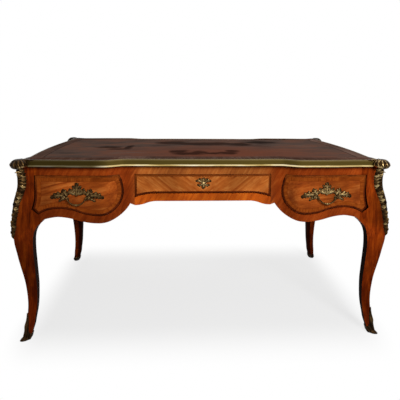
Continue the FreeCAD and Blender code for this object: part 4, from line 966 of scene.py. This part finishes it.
# Radius and height up the side of the clasp and over its top, in millimetres.
CLASP_PROFILE = [(15.0, 744.3), (22.0, 745.4), (28.5, 749.0), (33.0, 754.5), (35.8, 762.0), (33.6, 769.0),
                 (29.0, 775.0), (23.5, 779.5), (18.5, 782.8), (13.0, 784.0), (8.0, 783.6), (1.0, 783.0)]


def along_profile(t):
    """Radius and height at a share of the clasp's profile."""
    spot = t * (len(CLASP_PROFILE) - 1)
    k = min(int(spot), len(CLASP_PROFILE) - 2)
    (r0, z0), (r1, z1) = CLASP_PROFILE[k:k + 2]
    f = spot - k
    return r0 + (r1 - r0) * f, z0 + (z1 - z0) * f


def on_brass(corner_place, along, side, targets):
    """Place of a pattern point on the brass edge: inward along it, up its section, relief."""
    lean = (side + UP).normalized()
    up = (UP - side).normalized()

    def place(p, q, h):
        for narrower in (1.0, 0.8, 0.6, 0.4, 0.2, 0.0):
            spot = corner_place - side * BRASS_INSET - along * p + up * q * narrower
            hit = first_hit(targets, spot * MM + lean * 0.1, -lean)
            if hit is not None:
                break
        hit = hit + lean * h * MM
        return Vector((hit.x, hit.y, min(hit.z, cad_high.z)))
    return place


def lay(bm, place, *shape, **more):
    """Add one leaf and bend it at once on its own carrier."""
    old = set(bm.verts)
    leaf(bm, *shape, **more)
    for v in bm.verts:
        if v not in old:
            v.co = place(*v.co)


for corner, (sx, sy) in SIGNS.items():
    bm = start_mount()
    wear_and_light = bm.verts.layers.float.get("wear_and_light")
    corner_place = Vector((sx * LOBE_X, sy * LOBE_Y, TOP_Z))
    # Painted light: clasps on the right are brighter and those at the back darker, as the light falls from the
    # front and right.
    lit_and_rubbed = (1.1 + 0.25 * sx) * (0.8 - 0.2 * sy)
    sheet = bmesh.ops.create_grid(bm, x_segments=96, y_segments=32, size=1.0)["verts"]
    bmesh.ops.extrude_face_region(bm, geom=bm.faces[:])
    inner = set(sheet)
    for v in bm.verts:
        around = v.co.x * CLASP_HALF_TURN
        t = (v.co.y + 1) / 2
        radius, z = along_profile(t)
        # Ribs and curls cover the shell. A plain bead continues the torus of the brass edge.
        rib = math.cos(11 * around)
        curl = math.cos(22 * around + 22 * t) * math.cos(9 * t)
        swell = smooth(0.0, 0.2, t) * smooth(1.0, 0.7, t)
        relief = (1.2 * (rib - 1) + 0.8 * (curl - 1)) * swell
        bead = smooth(1.1, 1.3, abs(around)) * smooth(747, 750, z) * smooth(760, 757, z)
        relief *= 1 - bead
        v[wear_and_light] = min(max(lit_and_rubbed * (0.32 + (0.25 * rib + 0.42 * curl) * swell + 0.9 * bead), 0.0), 1.0)
        if v in inner:
            relief, v[wear_and_light] = -min(4.0, radius / 2), 0.0
            z -= 1.2 * smooth(0.75, 0.9, t)
        heading = math.atan2(sy, sx) + around
        flat = radius + relief
        v.co = Vector((math.cos(heading) * flat, math.sin(heading) * flat, z - TOP_Z)) + corner_place
        v.co *= MM
    end_side, long_side = "left" if sx < 0 else "right", "front" if sy < 0 else "back"
    targets = surface("edge_moulding_" + end_side, "edge_moulding_" + long_side, "top_crossbanding",
                      "corner_clasp_" + corner)
    for along, side in ((ALONG * sx, DEEP * sy), (DEEP * sy, ALONG * sx)):
        brass = on_brass(corner_place, along, side, targets)
        lay(bm, brass, (16, 1), (48, 1), (80, 4), 8.0, 4.0, 5, shine=0.8 * lit_and_rubbed)
        lay(bm, brass, (16, -3), (40, -5), (58, -5), 5.0, 3.5, 3, shine=0.7 * lit_and_rubbed)
    inward = Vector((-sx, -sy, 0)).normalized()
    across = Vector((sy, -sx, 0)).normalized()
    lay(bm, lambda p, q, h: (corner_place + inward * p + across * q + UP * h) * MM,
        (8, 0), (26, 0), (46, 0), 12.0, 3.4, 3, shine=0.8)
    end_mount(bm, "shell_clasp_" + corner, "carcass", "corner_clasp_" + corner)
